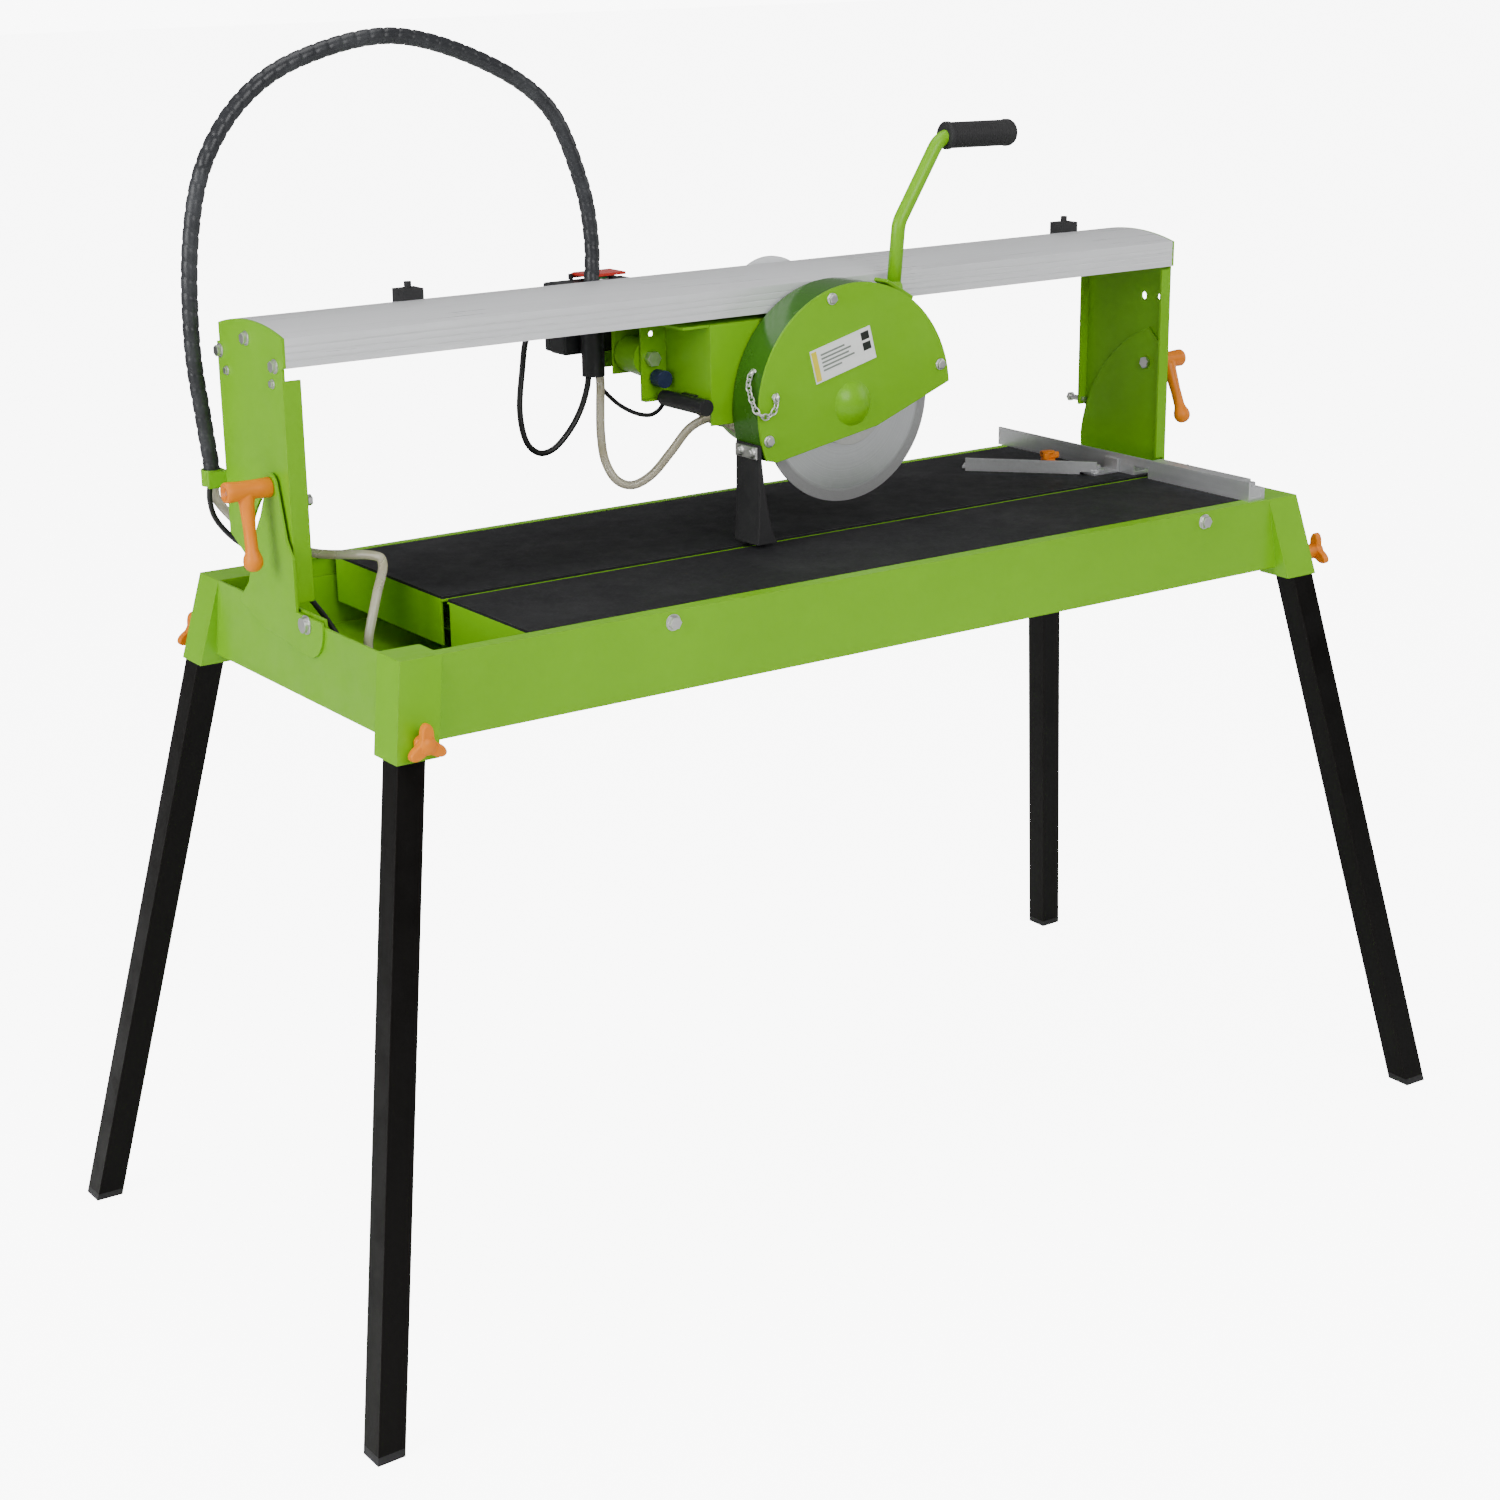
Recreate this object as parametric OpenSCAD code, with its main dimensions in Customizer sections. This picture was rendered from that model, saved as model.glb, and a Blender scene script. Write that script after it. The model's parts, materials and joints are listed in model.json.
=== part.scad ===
// Bridge tile saw on four splayed legs. Millimetres, +X along the length, +Y to the rear, +Z up.
// The origin is on the floor under the middle of the base.

/* [Base] */
// Length of the base
base_l = 1210; // [1190:1:1230]
// Depth of the base
base_w = 452; // [446:1:458]
// Height of the table top over the floor
table_z = 753; // [700:1:800]
// Height of the base's side panels
skirt_h = 85; // [80:1:90]

/* [Legs] */
// Side of the square leg tube
leg_side = 30; // [28:1:30]
// Foot centre from the middle, along X
foot_x = 730; // [715:1:740]
// Foot centre from the middle, along Y
foot_y = 347; // [338:1:352]

/* [Table] */
// Width of the saw slot between the two plates
slot_w = 10.5; // [10:0.5:12]
// Left end of the table plates, from the middle
table_left = 450; // [430:1:460]

/* [Blade and guard] */
// Radius of the diamond blade
blade_r = 115; // [105:1:118]
// Radius of the blade guard
guard_r = 134; // [130:1:135]
// Where the head stands along the rail, blade centre to the middle
head_x = 72; // [20:1:90]

/* [Hidden] */

green = "yellowgreen";
steel = "silver";
black = "dimgray";
orange = "orange";

e = 0.01;                            // overlap of pieces that are fused into one solid
sheet = 2.5;                         // thickness of the sheet steel
fit = 0.05;                          // radial clearance of a pin in its bore
skirt_z = table_z - skirt_h;         // lower edge of the side panels
half_l = base_l / 2;
half_w = base_w / 2;

// Leg sockets: flush with the panels at the top, further out at the bottom
socket_w = 46;                       // side of a socket
socket_z = table_z - 96;             // lower end of a socket
socket_out = 19;                     // how far its lower end stands proud
leg_top = [base_l / 2 - 17, base_w / 2 - 17];   // leg centre at table height
leg_wall = 2;
cap_h = 8;

// Bevel axis: the line of the saw slot, at table height
slot_y = -36;
pivot = [slot_y, table_z - 3];       // (y, z) of the bevel axis
pivot_r = 6;
web_x = half_l - 3;                  // outer face of an upright's web
web_t = 3;
lock_r = 145.5;                      // radius of the bevel lock's arc slot
lock_a = 26.6;                       // angle of the lock bolt behind the vertical
lock_pos = [pivot[0] + lock_r * sin(lock_a), pivot[1] + lock_r * cos(lock_a)];
bolt_r = 5;

// Rail section, (y, z)
rail_y0 = -7;
rail_y1 = 140;
rail_z0 = table_z + 250;
rail_side = 30;                      // height of the flat sides
rail_rise = 10;                      // rise of the arched top
rail_wall = 3;
rail_l = 2 * web_x - 2 * web_t;
rail_mid = (rail_y0 + rail_y1) / 2;
rail_slot = 74;                      // width of the open slot under the rail

// Trolley
wheel_r = 12;
wheel_x = [head_x - 172, head_x - 42];
axle_z = rail_z0 + rail_wall + wheel_r + 0.05;

// Head: raised by raise_a from level, swings about head_pivot (x, z)
raise_a = 14.6;
head_pivot = [head_x - 184, table_z + 199];
blade_c = [head_x, table_z + 148];   // (x, z) of the blade's axis
guard_y0 = slot_y - 24;              // front face of the guard
guard_y1 = slot_y + 25.5;            // rear face of the guard

// Routes of the cords and hoses: points chosen by hand
bundle_d = 17;
bundle_route = [[-610, 164, 862], [-610, 164, 880], [-615, 164, 930], [-622, 163, 1010], [-617, 161, 1110],
    [-596, 160, 1190], [-550, 158, 1252], [-482, 157, 1290], [-377, 156, 1308], [-270, 155, 1278],
    [-191, 154, 1226], [-152, 154, 1144], [-140, 154, 1077], [-142, 154.5, 1020], [-142, 154.5, 977]];
cable_d = 7;
cable_route = [[-150, 153, 925], [-152, 154, 912], [-160, 155, 890], [-175, 155, 868], [-196, 156, 849],
    [-216, 157, 846], [-232, 158, 862], [-236, 162, 897], [-226, 170, 941], [-213, 182, 970],
    [-197, 189, 983], [-182, 189, 985]];
water_d = 10;
water_route = [[-137, 149, 925], [-138, 147, 912], [-144, 139, 893], [-153, 125, 865], [-158, 110, 838],
    [-152, 97, 817], [-138, 84, 811], [-122, 68, 824], [-105, 54, 850], [-88, 42, 876], [-70, 27, 888],
    [-57, 14, 883], [-50.5, 5, 877], [-50, -2.2, 876]];
cap_cable_d = 5;
cap_route = [[-133.5, 160.5, 925], [-131, 158, 913], [-127, 146, 902], [-124, 125, 893], [-117, 104, 887],
    [-110, 88, 887], [-106, 76, 894], [-105, 68.5, 902]];
pump_d = 10;
pump_route = [[-538, -30, 713], [-536, -30, 728], [-520, -20, 764], [-504, -6, 791], [-510, 8, 799],
    [-546, 55, 797], [-568, 120, 800], [-577, 160, 808], [-592, 170, 826], [-605, 169, 844], [-607, 167,
        858.5]];
pump_cable_d = 6;
pump_cable_route = [[-616, 159, 858.5], [-615, 163, 844], [-606, 172, 822], [-590, 168, 800], [-572, 140,
    782],
    [-562, 90, 766], [-558, 30, 740], [-556, -6, 716], [-556, -10, 704]];

// ---------- helpers ----------
module along_x(x0, l) { translate([x0, 0, 0]) rotate([90, 0, 90]) linear_extrude(l) children(); }
module along_y(y0, l) { translate([0, y0 + l, 0]) rotate([90, 0, 0]) linear_extrude(l) children(); }
module block(x, y, z) {
    translate([x[0], y[0], z[0]]) cube([x[1] - x[0], y[1] - y[0], z[1] - z[0]]);
}
module rod_x(x0, l, r, y, z, fn = 32) { translate([x0, y, z]) rotate([0, 90, 0]) cylinder(h = l, r = r,
    $fn = fn); }
module rod_y(y0, l, r, x, z, fn = 32) { translate([x, y0, z]) rotate([-90, 0, 0]) cylinder(h = l, r = r,
    $fn = fn); }
module rod_z(z0, l, r, x, y, fn = 32) { translate([x, y, z0]) cylinder(h = l, r = r, $fn = fn); }

// Hexagon-head screw along X, head on the side given by dir
module screw_x(x, y, z, r, dir = 1) {
    rod_x(dir > 0 ? x : x - r * 0.9, r * 0.9, r, y, z, 6);
    rod_x(dir > 0 ? x : x - 1.2, 1.2, r * 1.25, y, z);
}
module screw_y(x, y, z, r) {
    rod_y(y - r * 0.9, r * 0.9, r, x, z, 6);
    rod_y(y - 1.2, 1.2, r * 1.25, x, z);
}

// Round cord swept along a smooth curve through the route's points
function spline_point(p, i, t) =
    let (n = len(p), a = p[max(i - 1, 0)], b = p[i], c = p[min(i + 1, n - 1)], d = p[min(i + 2, n - 1)])
    0.5 * ((2 * b) + (c - a) * t + (2 * a - 5 * b + 4 * c - d) * t * t + (3 * b - a - 3 * c + d)
        * t * t * t);
function spline(p, n) = [for (i = [0 : len(p) - 2]) for (k = [0 : n - 1]) spline_point(p, i, k / n),
    p[len(p) - 1]];
function unit(v) = v / norm(v);
module cord(route, d, sides, per) {
    path = spline(route, per);
    n = len(path);
    points = [for (i = [0 : n - 1])
        let (t = unit(path[min(i + 1, n - 1)] - path[max(i - 1, 0)]),
             side = unit(cross(t, abs(t[1]) < 0.9 ? [0, 1, 0] : [1, 0, 0])), up = cross(side, t))
        for (k = [0 : sides - 1]) path[i] + d / 2 * (cos(360 * k / sides) * side + sin(360 * k / sides)
            * up)];
    walls = [for (i = [0 : n - 2]) for (k = [0 : sides - 1]) let (a = i * sides, b = (k + 1) % sides)
        each [[a + k, a + b, a + sides + b], [a + k, a + sides + b, a + sides + k]]];
    polyhedron(points, concat(walls, [[for (k = [sides - 1 : -1 : 0]) k],
        [for (k = [0 : sides - 1]) (n - 1) * sides + k]]));
}

// Three-lobed clamp knob in the XY plane
module star(r, h) {
    linear_extrude(h) for (a = [90, 210, 330]) hull() {
        circle(r * 0.48, $fn = 32);
        rotate(a) translate([r * 0.8, 0]) circle(r * 0.2, $fn = 32);
    }
}

// ---------- base ----------
module pivot_hole(r) { translate(pivot) circle(r, $fn = 32); }

module end_panel(x0) {
    along_x(x0, sheet) difference() {
        translate([-half_w, skirt_z]) square([base_w, skirt_h]);
        pivot_hole(pivot_r + fit);
    }
}

module base_frame() {
    color(green) {
        difference() {
            union() {
                for (sx = [-1, 1]) for (sy = [-1, 1]) socket(sx, sy);
                for (s = [-1, 1]) {
                    y = s > 0 ? [half_w - sheet, half_w] : [-half_w, -half_w + sheet];
                    rim = s > 0 ? [half_w - 10, half_w] : [-half_w, -half_w + 17];
                    low = s > 0 ? [half_w - 14, half_w] : [-half_w, -half_w + 14];
                    shelf = s > 0 ? [half_w - 24, half_w] : [-half_w, -half_w + 32];
                    block([-half_l, half_l], y, [skirt_z, table_z]);
                    block([-half_l, half_l], rim, [table_z - sheet, table_z]);
                    block([-half_l, half_l], low, [skirt_z, skirt_z + sheet]);
                    block([-table_left + 4, half_l - socket_w], shelf, [table_z - 8, table_z - 5.5]);
                }
                end_panel(-half_l);
                end_panel(half_l - sheet);
                block([-half_l, -half_l + 12], [-half_w, half_w], [skirt_z, skirt_z + sheet]);
                block([half_l - 12, half_l], [-half_w, half_w], [skirt_z, skirt_z + sheet]);
                // right-hand deck between the table and the end panel
                difference() {
                    block([half_l - 48, half_l], [-half_w, half_w], [table_z - sheet, table_z]);
                    block([half_l - 11, half_l - sheet], [-74, 152], [table_z - 5, table_z + 5]);
                }
            }
            for (sx = [-1, 1]) for (sy = [-1, 1]) leg_prism(sx, sy, leg_side + 0.4, socket_z - 5,
                table_z - 5);
            for (x = [-half_l - 10, half_l - 11]) rod_x(x, 21, pivot_r + fit, pivot[0], pivot[1]);
            rod_y(-half_w - 30, 30, stud_r + fit, knob_fl[0], knob_z);
            rod_x(half_l, 30, stud_r + fit, knob_fr[1], knob_z);
            for (x = [knob_rl[0], knob_rr[0]]) rod_y(half_w, 30, stud_r + fit, x, knob_z);
        }
    }
}

module water_tray() {
    color(green) difference() {
        tray_block(0, skirt_z + sheet, tray_h);
        tray_block(2, skirt_z + sheet + 2, tray_h);
    }
}
tray_h = 58;
module tray_block(inset, z, h) {
    ix = half_l - socket_w - 8 - inset;
    iy = half_w - sheet - 2 - inset;
    translate([0, 0, z]) linear_extrude(h) polygon([
        [-half_l + 16 + inset, -half_w + socket_w + 6 + inset], [-ix, -half_w + socket_w + 6 + inset],
            [-ix, -iy],
        [ix, -iy], [ix, iy], [-ix, iy], [-ix, half_w - socket_w - 6 - inset],
        [-half_l + 16 + inset, half_w - socket_w - 6 - inset]]);
}

// Square prism along a leg's line, cut level at z0 and z1
module leg_prism(sx, sy, side, z0, z1) {
    d = [foot_x - leg_top[0], foot_y - leg_top[1], -table_z];
    l = norm(d);
    a = asin(d[1] / l);
    b = asin(d[0] / l / cos(a));
    scale_x = sx;
    intersection() {
        translate([sx * foot_x, sy * foot_y, 0]) rotate([sy * a, -scale_x * b, 0])
            translate([-side / 2, -side / 2, -40]) cube([side, side, l + 80]);
        translate([-1000, -1000, z0]) cube([2000, 2000, z1 - z0]);
    }
}
module leg(sx, sy) {
    color("black") difference() {
        leg_prism(sx, sy, leg_side, cap_h, table_z - 6);
        leg_prism(sx, sy, leg_side - 2 * leg_wall, cap_h - 1, table_z);
    }
}
module leg_front_left() { leg(-1, -1); }
module leg_front_right() { leg(1, -1); }
module leg_rear_left() { leg(-1, 1); }
module leg_rear_right() { leg(1, 1); }
module foot_caps() {
    color("black") for (sx = [-1, 1]) for (sy = [-1, 1]) {
        leg_prism(sx, sy, leg_side, 0, cap_h);
        leg_prism(sx, sy, leg_side - 2 * leg_wall, cap_h - e, cap_h + 20);
    }
}

module socket(sx, sy) {
    w = socket_w;
    hull() {
        translate([sx * (half_l - w / 2), sy * (half_w - w / 2), table_z - 0.5]) cube([w, w, 1],
            center = true);
        translate([sx * (half_l + socket_out - w / 2), sy * (half_w + socket_out - w / 2), socket_z + 0.5])
            cube([w, w, 1], center = true);
    }
}

// Clamp knob of a leg: its screw goes through the socket's wall
knob_z = socket_z + 19;
stud_r = 4;
knob_fl = [-half_l + 8, -half_w - 18];
knob_fr = [half_l + 18, -half_w + 8];
knob_rl = [-half_l + 8, half_w + 18];
knob_rr = [half_l - 8, half_w + 18];
module leg_knob(p, turn, boss) {
    color(orange) translate([p[0], p[1], knob_z]) rotate(turn) rotate([90, 0, 0]) {
        cylinder(h = boss + e, r = 7, $fn = 32);
        translate([0, 0, boss]) star(22, 9);
        translate([0, 0, -3.5]) cylinder(h = 3.5 + e, r = stud_r, $fn = 32);
    }
}
module knob_front_left() { leg_knob(knob_fl, 0, 9); }
module knob_front_right() { leg_knob(knob_fr, 90, 24); }
module knob_rear_left() { leg_knob(knob_rl, 180, 24); }
module knob_rear_right() { leg_knob(knob_rr, 180, 24); }

mat_t = 3;
plate_z = table_z - mat_t;
table_right = half_l - 49;
module table_plate(y0, y1) {
    color(green) {
        block([-table_left, table_right], [y0, y1], [plate_z - sheet, plate_z]);
        block([-table_left, -table_left + sheet], [y0 + 4, y1 - 4], [plate_z - 50, plate_z - e]);
        block([table_right - sheet, table_right], [y0 + 34, y1 - 34], [plate_z - 25, plate_z - e]);
    }
}
module mat(y0, y1) {
    color(black) block([-table_left, table_right], [y0 + 1.5, y1 - 1.5], [plate_z, table_z]);
}
front_y = [-half_w + 18.5, slot_y - slot_w / 2];
rear_y = [slot_y + slot_w / 2, half_w - 11];
module table_front() { table_plate(front_y[0], front_y[1]); }
module table_rear() { table_plate(rear_y[0], rear_y[1]); }
module mat_front() { mat(front_y[0], front_y[1]); }
module mat_rear() { mat(rear_y[0], rear_y[1]); }

module table_supports() {
    color(green) for (x = [-400, 60, 500]) {
        block([x - 15, x + 15], [-half_w + 6.5, half_w - 6.5], [skirt_z + 32, skirt_z + 34.5]);
        for (y = [-110, 60]) block([x - 15, x + 15], [y, y + 30], [skirt_z + 34.5 - e, plate_z - sheet]);
    }
}

// Plates that carry the bevel axis: an outside one on the left, an inside one on the right
function arc(c, r, a0, a1, n) = [for (i = [0 : n]) c + r * [cos(a0 + (a1 - a0) * i / n),
    sin(a0 + (a1 - a0) * i / n)]];
module pivot_plate_left() {
    color(green) along_x(-half_l - 3, 3) difference() {
        polygon(concat([[70, 727], [122, 745], [96, 768]], arc(lock_pos, 14, -25, 155, 24),
            [[1, 830], [-12, 812], [-13, 758], [-69, 758]], arc(pivot, 34, 180, 285, 20)));
        pivot_hole(pivot_r + fit);
        translate(lock_pos) circle(bolt_r + fit, $fn = 32);
    }
}
module pivot_plate_right() {
    color(green) difference() {
        union() {
            along_x(web_x - 6.5, 3) union() {
                intersection() {
                    translate(pivot) circle(34, $fn = 64);
                    translate([-90, 700]) square([180, 58]);
                }
                intersection() {
                    translate(pivot) circle(185, $fn = 96);
                    polygon([[40, 935], [4, 904], [2, 762], [-36, 750], [-36, 716], [20, 680], [141,
                        680], [160, 960]]);
                }
            }
            for (p = [[30, 692], [118, 700]]) rod_x(web_x - 4, 4.5, 7, p[0], p[1]);
        }
        rod_x(web_x - 10, 20, pivot_r + fit, pivot[0], pivot[1]);
        rod_x(web_x - 10, 20, bolt_r + fit, lock_pos[0], lock_pos[1]);
    }
}
// Bevel axis bolts, and the screws in the base's panels
module base_bolts() {
    color(steel) {
        rod_x(-half_l - 3, 12, pivot_r, pivot[0], pivot[1]);
        rod_x(-half_l - 4.5, 1.5, 10, pivot[0], pivot[1]);
        rod_x(-half_l - 9, 5, 8, pivot[0], pivot[1]);
        rod_x(half_l - 11, 11, pivot_r, pivot[0], pivot[1]);
        rod_x(half_l, 6, 9, pivot[0], pivot[1], 6);
        for (x = [-293, 453]) screw_y(x, -half_w, table_z - 12, 7);
        for (p = [[30, 692], [118, 700]]) screw_x(half_l, p[0], p[1], 5, 1);
    }
}
module pump() {
    color(black) {
        block([-570, -506], [-62, 2], [skirt_z + sheet + 2, skirt_z + 30]);
        rod_z(skirt_z + 30 - e, 5, 4, -556, -10);
        rod_z(skirt_z + 30 - e, 6, 20, -538, -30);
        rod_z(skirt_z + 36 - 2 * e, 8, 5, -538, -30);
    }
}
module pump_hose() { color("gainsboro") cord(pump_route, pump_d, 10, 2); }
module pump_cable() { color(black) cord(pump_cable_route, pump_cable_d, 8, 2); }

// ---------- bridge ----------
module rail_outline(inset) {
    r = (pow((rail_y1 - rail_y0) / 2, 2) + rail_rise * rail_rise) / (2 * rail_rise);
    intersection() {
        translate([rail_mid, rail_z0 + rail_side + rail_rise - r]) circle(r - inset, $fn = 256);
        translate([rail_y0 + inset, rail_z0 + inset]) square([rail_y1 - rail_y0 - 2 * inset, 60]);
    }
}
module rail() {
    color(steel) along_x(-rail_l / 2, rail_l) difference() {
        rail_outline(0);
        rail_outline(rail_wall);
        translate([rail_mid - rail_slot / 2, rail_z0 - 1]) square([rail_slot, rail_wall + 2]);
        for (z = [7, 14, 21]) for (y = [rail_y0 - 1, rail_y1 - 0.8])
            translate([y, rail_z0 + z]) square([1.8, 1.4]);
    }
}
module arc_slot(r, half, a0, a1) {
    translate(pivot) {
        intersection() {
            difference() {
                circle(r + half, $fn = 128);
                circle(r - half, $fn = 128);
            }
            polygon([[0, 0], 2 * r * [sin(a0), cos(a0)], 2 * r * [sin((a0 + a1) / 2), cos((a0 + a1) / 2)],
                2 * r * [sin(a1), cos(a1)]]);
        }
        for (a = [a0, a1]) translate(r * [sin(a), cos(a)]) circle(half, $fn = 32);
    }
}
module web_outline() {
    difference() {
        union() {
            rail_outline(0);
            polygon([[-3, rail_z0 + 10], [146, rail_z0 + 10], [146, 812], [-20, 724.6], [-36, 720], [-58,
                730],
                [-66, 748], [-64, 760], [-3, 760]]);
        }
        pivot_hole(pivot_r + fit);
        arc_slot(lock_r, bolt_r + 0.4, lock_a, lock_a + 55);
    }
}
// Upright at the end given by s, with a front flange of width wf
module upright(s, wf, holes) {
    color(green) {
        x0 = s > 0 ? web_x - web_t : -web_x;
        difference() {
            along_x(x0, web_t) web_outline();
            for (p = holes) rod_x(x0 - 5, 20, p[2], p[0], p[1]);
        }
        difference() {
            for (f = [[-3, wf, table_z + 11], [143, 14, 812]])
                translate([s > 0 ? web_x - f[1] : -web_x, f[0], f[2]])
                    cube([f[1], web_t, rail_z0 - (s > 0 ? 4 : 13) - f[2]]);
            if (s > 0) rod_y(140, 10, 3.5 + fit, web_x - 8, 818.5);
        }
    }
}
module upright_left() { upright(-1, 20, []); }
module upright_right() { upright(1, 15, [[41, 962, 5], [14, 963, 4]]); }
module rail_screws() {
    color(steel) for (s = [-1, 1]) {
        for (p = [[75, 1024], [12, 1003.5], [139, 1004]]) screw_x(s * web_x, p[0], p[1], 6, s);
        for (p = [[19, 985], [125, 985]]) screw_x(s * web_x, p[0], p[1], 4, s);
    }
    // adjusting screws of the bevel
    color(steel) {
        rod_x(-web_x + web_t, 18, 3.5, 3.6, 867);
        rod_x(-web_x + 21 - e, 5, 6, 3.6, 867, 6);
        rod_y(138, 26, 3.5, web_x - 8, 818.5);
        rod_y(164 - e, 4, 6, web_x - 8, 818.5, 6);
    }
}
// Rubber travel stops on the rail's top
module rail_stops() {
    color("black") for (x = [-399, 522]) {
        difference() {
            block([x - 13, x + 13], [96, 118], [rail_z0 + 33, rail_z0 + 50]);
            along_x(x - 20, 40) rail_outline(0);
        }
        rod_z(rail_z0 + 50 - e, 7, 4, x, 107);
    }
}
module hose_clip() {
    color(green) difference() {
        union() {
            block([-web_x, -web_x + 3], [146, 190], [860, 877]);
            block([-web_x - 20, -web_x + e], [146, 149], [860, 877]);
            rod_z(860, 17, bundle_d / 2 + 3, -610, 164);
        }
        rod_z(859, 19, bundle_d / 2 + 0.3, -610, 164);
    }
}

// Bevel lock lever: hub along X, arm hanging with a ball end, and its bolt through plate and slot
module bevel_lever(x, dir, bolt, lean) {
    color(orange) translate([x, lock_pos[0], lock_pos[1]]) {
        difference() {
            rod_x(dir > 0 ? 0 : -50, 50, 10.5, 0, 0);
            rod_x(dir > 0 ? 41 : -51, 10, 6, 0, 0);
        }
        rotate([lean, 0, 0]) {
            translate([dir * 27, 0, -66]) cylinder(h = 62, r1 = 6.5, r2 = 8, $fn = 32);
            translate([dir * 27, 0, -72]) sphere(10.5, $fn = 32);
        }
    }
    color(steel) {
        rod_x(dir > 0 ? x - bolt : x - e, bolt + e, bolt_r, lock_pos[0], lock_pos[1]);
        rod_x(dir > 0 ? x - bolt - 5 : x + bolt, 5, 8, lock_pos[0], lock_pos[1], 6);
    }
}
module bevel_lever_left() { bevel_lever(-half_l - 3.1, -1, 13, -6); }
module bevel_lever_right() { bevel_lever(web_x + 3, 1, 10, -24); }

// ---------- trolley ----------
gland_p = [-142, 154.5];
bracket_y = 81;                      // the bracket's rear flange
bracket_x = head_x - 164;            // the bracket's side
back_y = 148;                        // plate behind the rail
module trolley() {
    color(green) difference() {
        union() {
            // deck under the rail, and the neck that goes up through its slot
            block([head_x - 197, head_x - 12], [-4, back_y + sheet], [rail_z0 - 9, rail_z0 - 6]);
            for (x = wheel_x) block([x - 8, x + 8], [rail_mid - 30, rail_mid + 30], [rail_z0 - 7,
                axle_z + 9]);
            // bracket: front panel, side, rear flange
            block([bracket_x, bracket_x + 66], [-8, -8 + sheet], [table_z + 133, rail_z0 - 6]);
            block([bracket_x, bracket_x + sheet], [-8, bracket_y + sheet], [table_z + 152, rail_z0 - 6]);
            block([bracket_x - 33, bracket_x + sheet], [bracket_y, bracket_y + sheet], [table_z + 152,
                rail_z0 - 6]);
            block([bracket_x - 33, bracket_x + sheet], [bracket_y - 8, bracket_y + sheet],
                [table_z + 152, table_z + 152 + sheet]);
            // rear bearing plate of the head's pivot
            block([head_pivot[0] - 20, head_pivot[0] + 24], [128, 128 + sheet], [head_pivot[1] - 22,
                rail_z0 - 6]);
            // plate behind the rail, with the shelf of the switch box
            block([head_x - 200, head_x + 68], [back_y, back_y + sheet], [rail_z0 - 12, rail_z0 + 14]);
            block([head_x - 194, box_x[1] + sheet], [165, box_y[1]], [box_z[0] - 3, box_z[0]]);
            block([head_x - 194, head_x - 160], [165, 168], [box_z[0] - 17, box_z[0] - e]);
            block([box_x[1], box_x[1] + sheet], [box_y[0], box_y[1] - 7], [box_z[0] - 3, rail_z0 - 9]);
            block([box_x[1], box_x[1] + 12], [back_y, box_y[1] - 7], [rail_z0 - 12, rail_z0 - 9 + e]);
        }
        for (x = wheel_x) rod_y(rail_mid - 40, 80, 4 + fit, x, axle_z);
        for (y = [bracket_y - 5, 124]) rod_y(y, 12, pin_r + fit, head_pivot[0], head_pivot[1]);
        rod_y(bracket_y - 5, 12, 3.5, head_pivot[0] + 1, head_pivot[1] + 27);
        rod_y(bracket_y - 5, 12, 3 + fit, head_pivot[0] + 6, head_pivot[1] - 22);
    }
}
// Pale end cap behind the trolley's back plate, arched at its top
module trolley_cap() {
    color(steel) intersection() {
        rod_y(back_y + sheet, 4, 62, head_x + 31, rail_z0 - 24, 96);
        block([head_x - 9, head_x + 67], [back_y, back_y + 12], [rail_z0 + 1, rail_z0 + 60]);
    }
}
module wheels(x) {
    color(black) {
        rod_y(rail_mid - 50, 100, 4, x, axle_z);
        for (y = [-52, 40]) rod_y(rail_mid + y, 12, wheel_r, x, axle_z, 64);
    }
}
module wheels_left() { wheels(wheel_x[0]); }
module wheels_right() { wheels(wheel_x[1]); }

box_x = [head_x - 243, head_x - 143];
box_y = [169, 214];
box_z = [rail_z0 - 54, rail_z0 + 26];
module switch_box() {
    color("black") difference() {
        union() {
            block(box_x, box_y, box_z);
            rod_x(box_x[0] - 10, 10 + e, 8, 189, 985);
            rod_y(box_y[1] - e, 12, 9, box_x[0] + 30, box_z[0] + 30);
            rod_x(flap_x[0] - 3, flap_x[1] - flap_x[0] + 6, 1.5, flap_hinge[0], flap_hinge[1]);
            for (x = [flap_x[0] - 3.5, flap_x[1] + 0.5]) block([x, x + 3], [204, 211], [box_z[1] - e,
                box_z[1] + 6]);
        }
        rod_z(box_z[1] - 6, 10, 9 + fit, head_x - 182, 188);
    }
}
// Red stop flap over the start button
flap_x = [head_x - 206, head_x - 156];
flap_hinge = [208, box_z[1] + 4];
module stop_flap() {
    color("red") difference() {
        union() {
            block(flap_x, [172, 206], [box_z[1] + 5, box_z[1] + 8]);
            rod_x(flap_x[0], flap_x[1] - flap_x[0], 3, flap_hinge[0], flap_hinge[1]);
        }
        rod_x(flap_x[0] - 5, 60, 1.5 + fit, flap_hinge[0], flap_hinge[1]);
    }
}
module start_button() { color("green") rod_z(box_z[1] - 3, 6, 9, head_x - 182, 188); }
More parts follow.
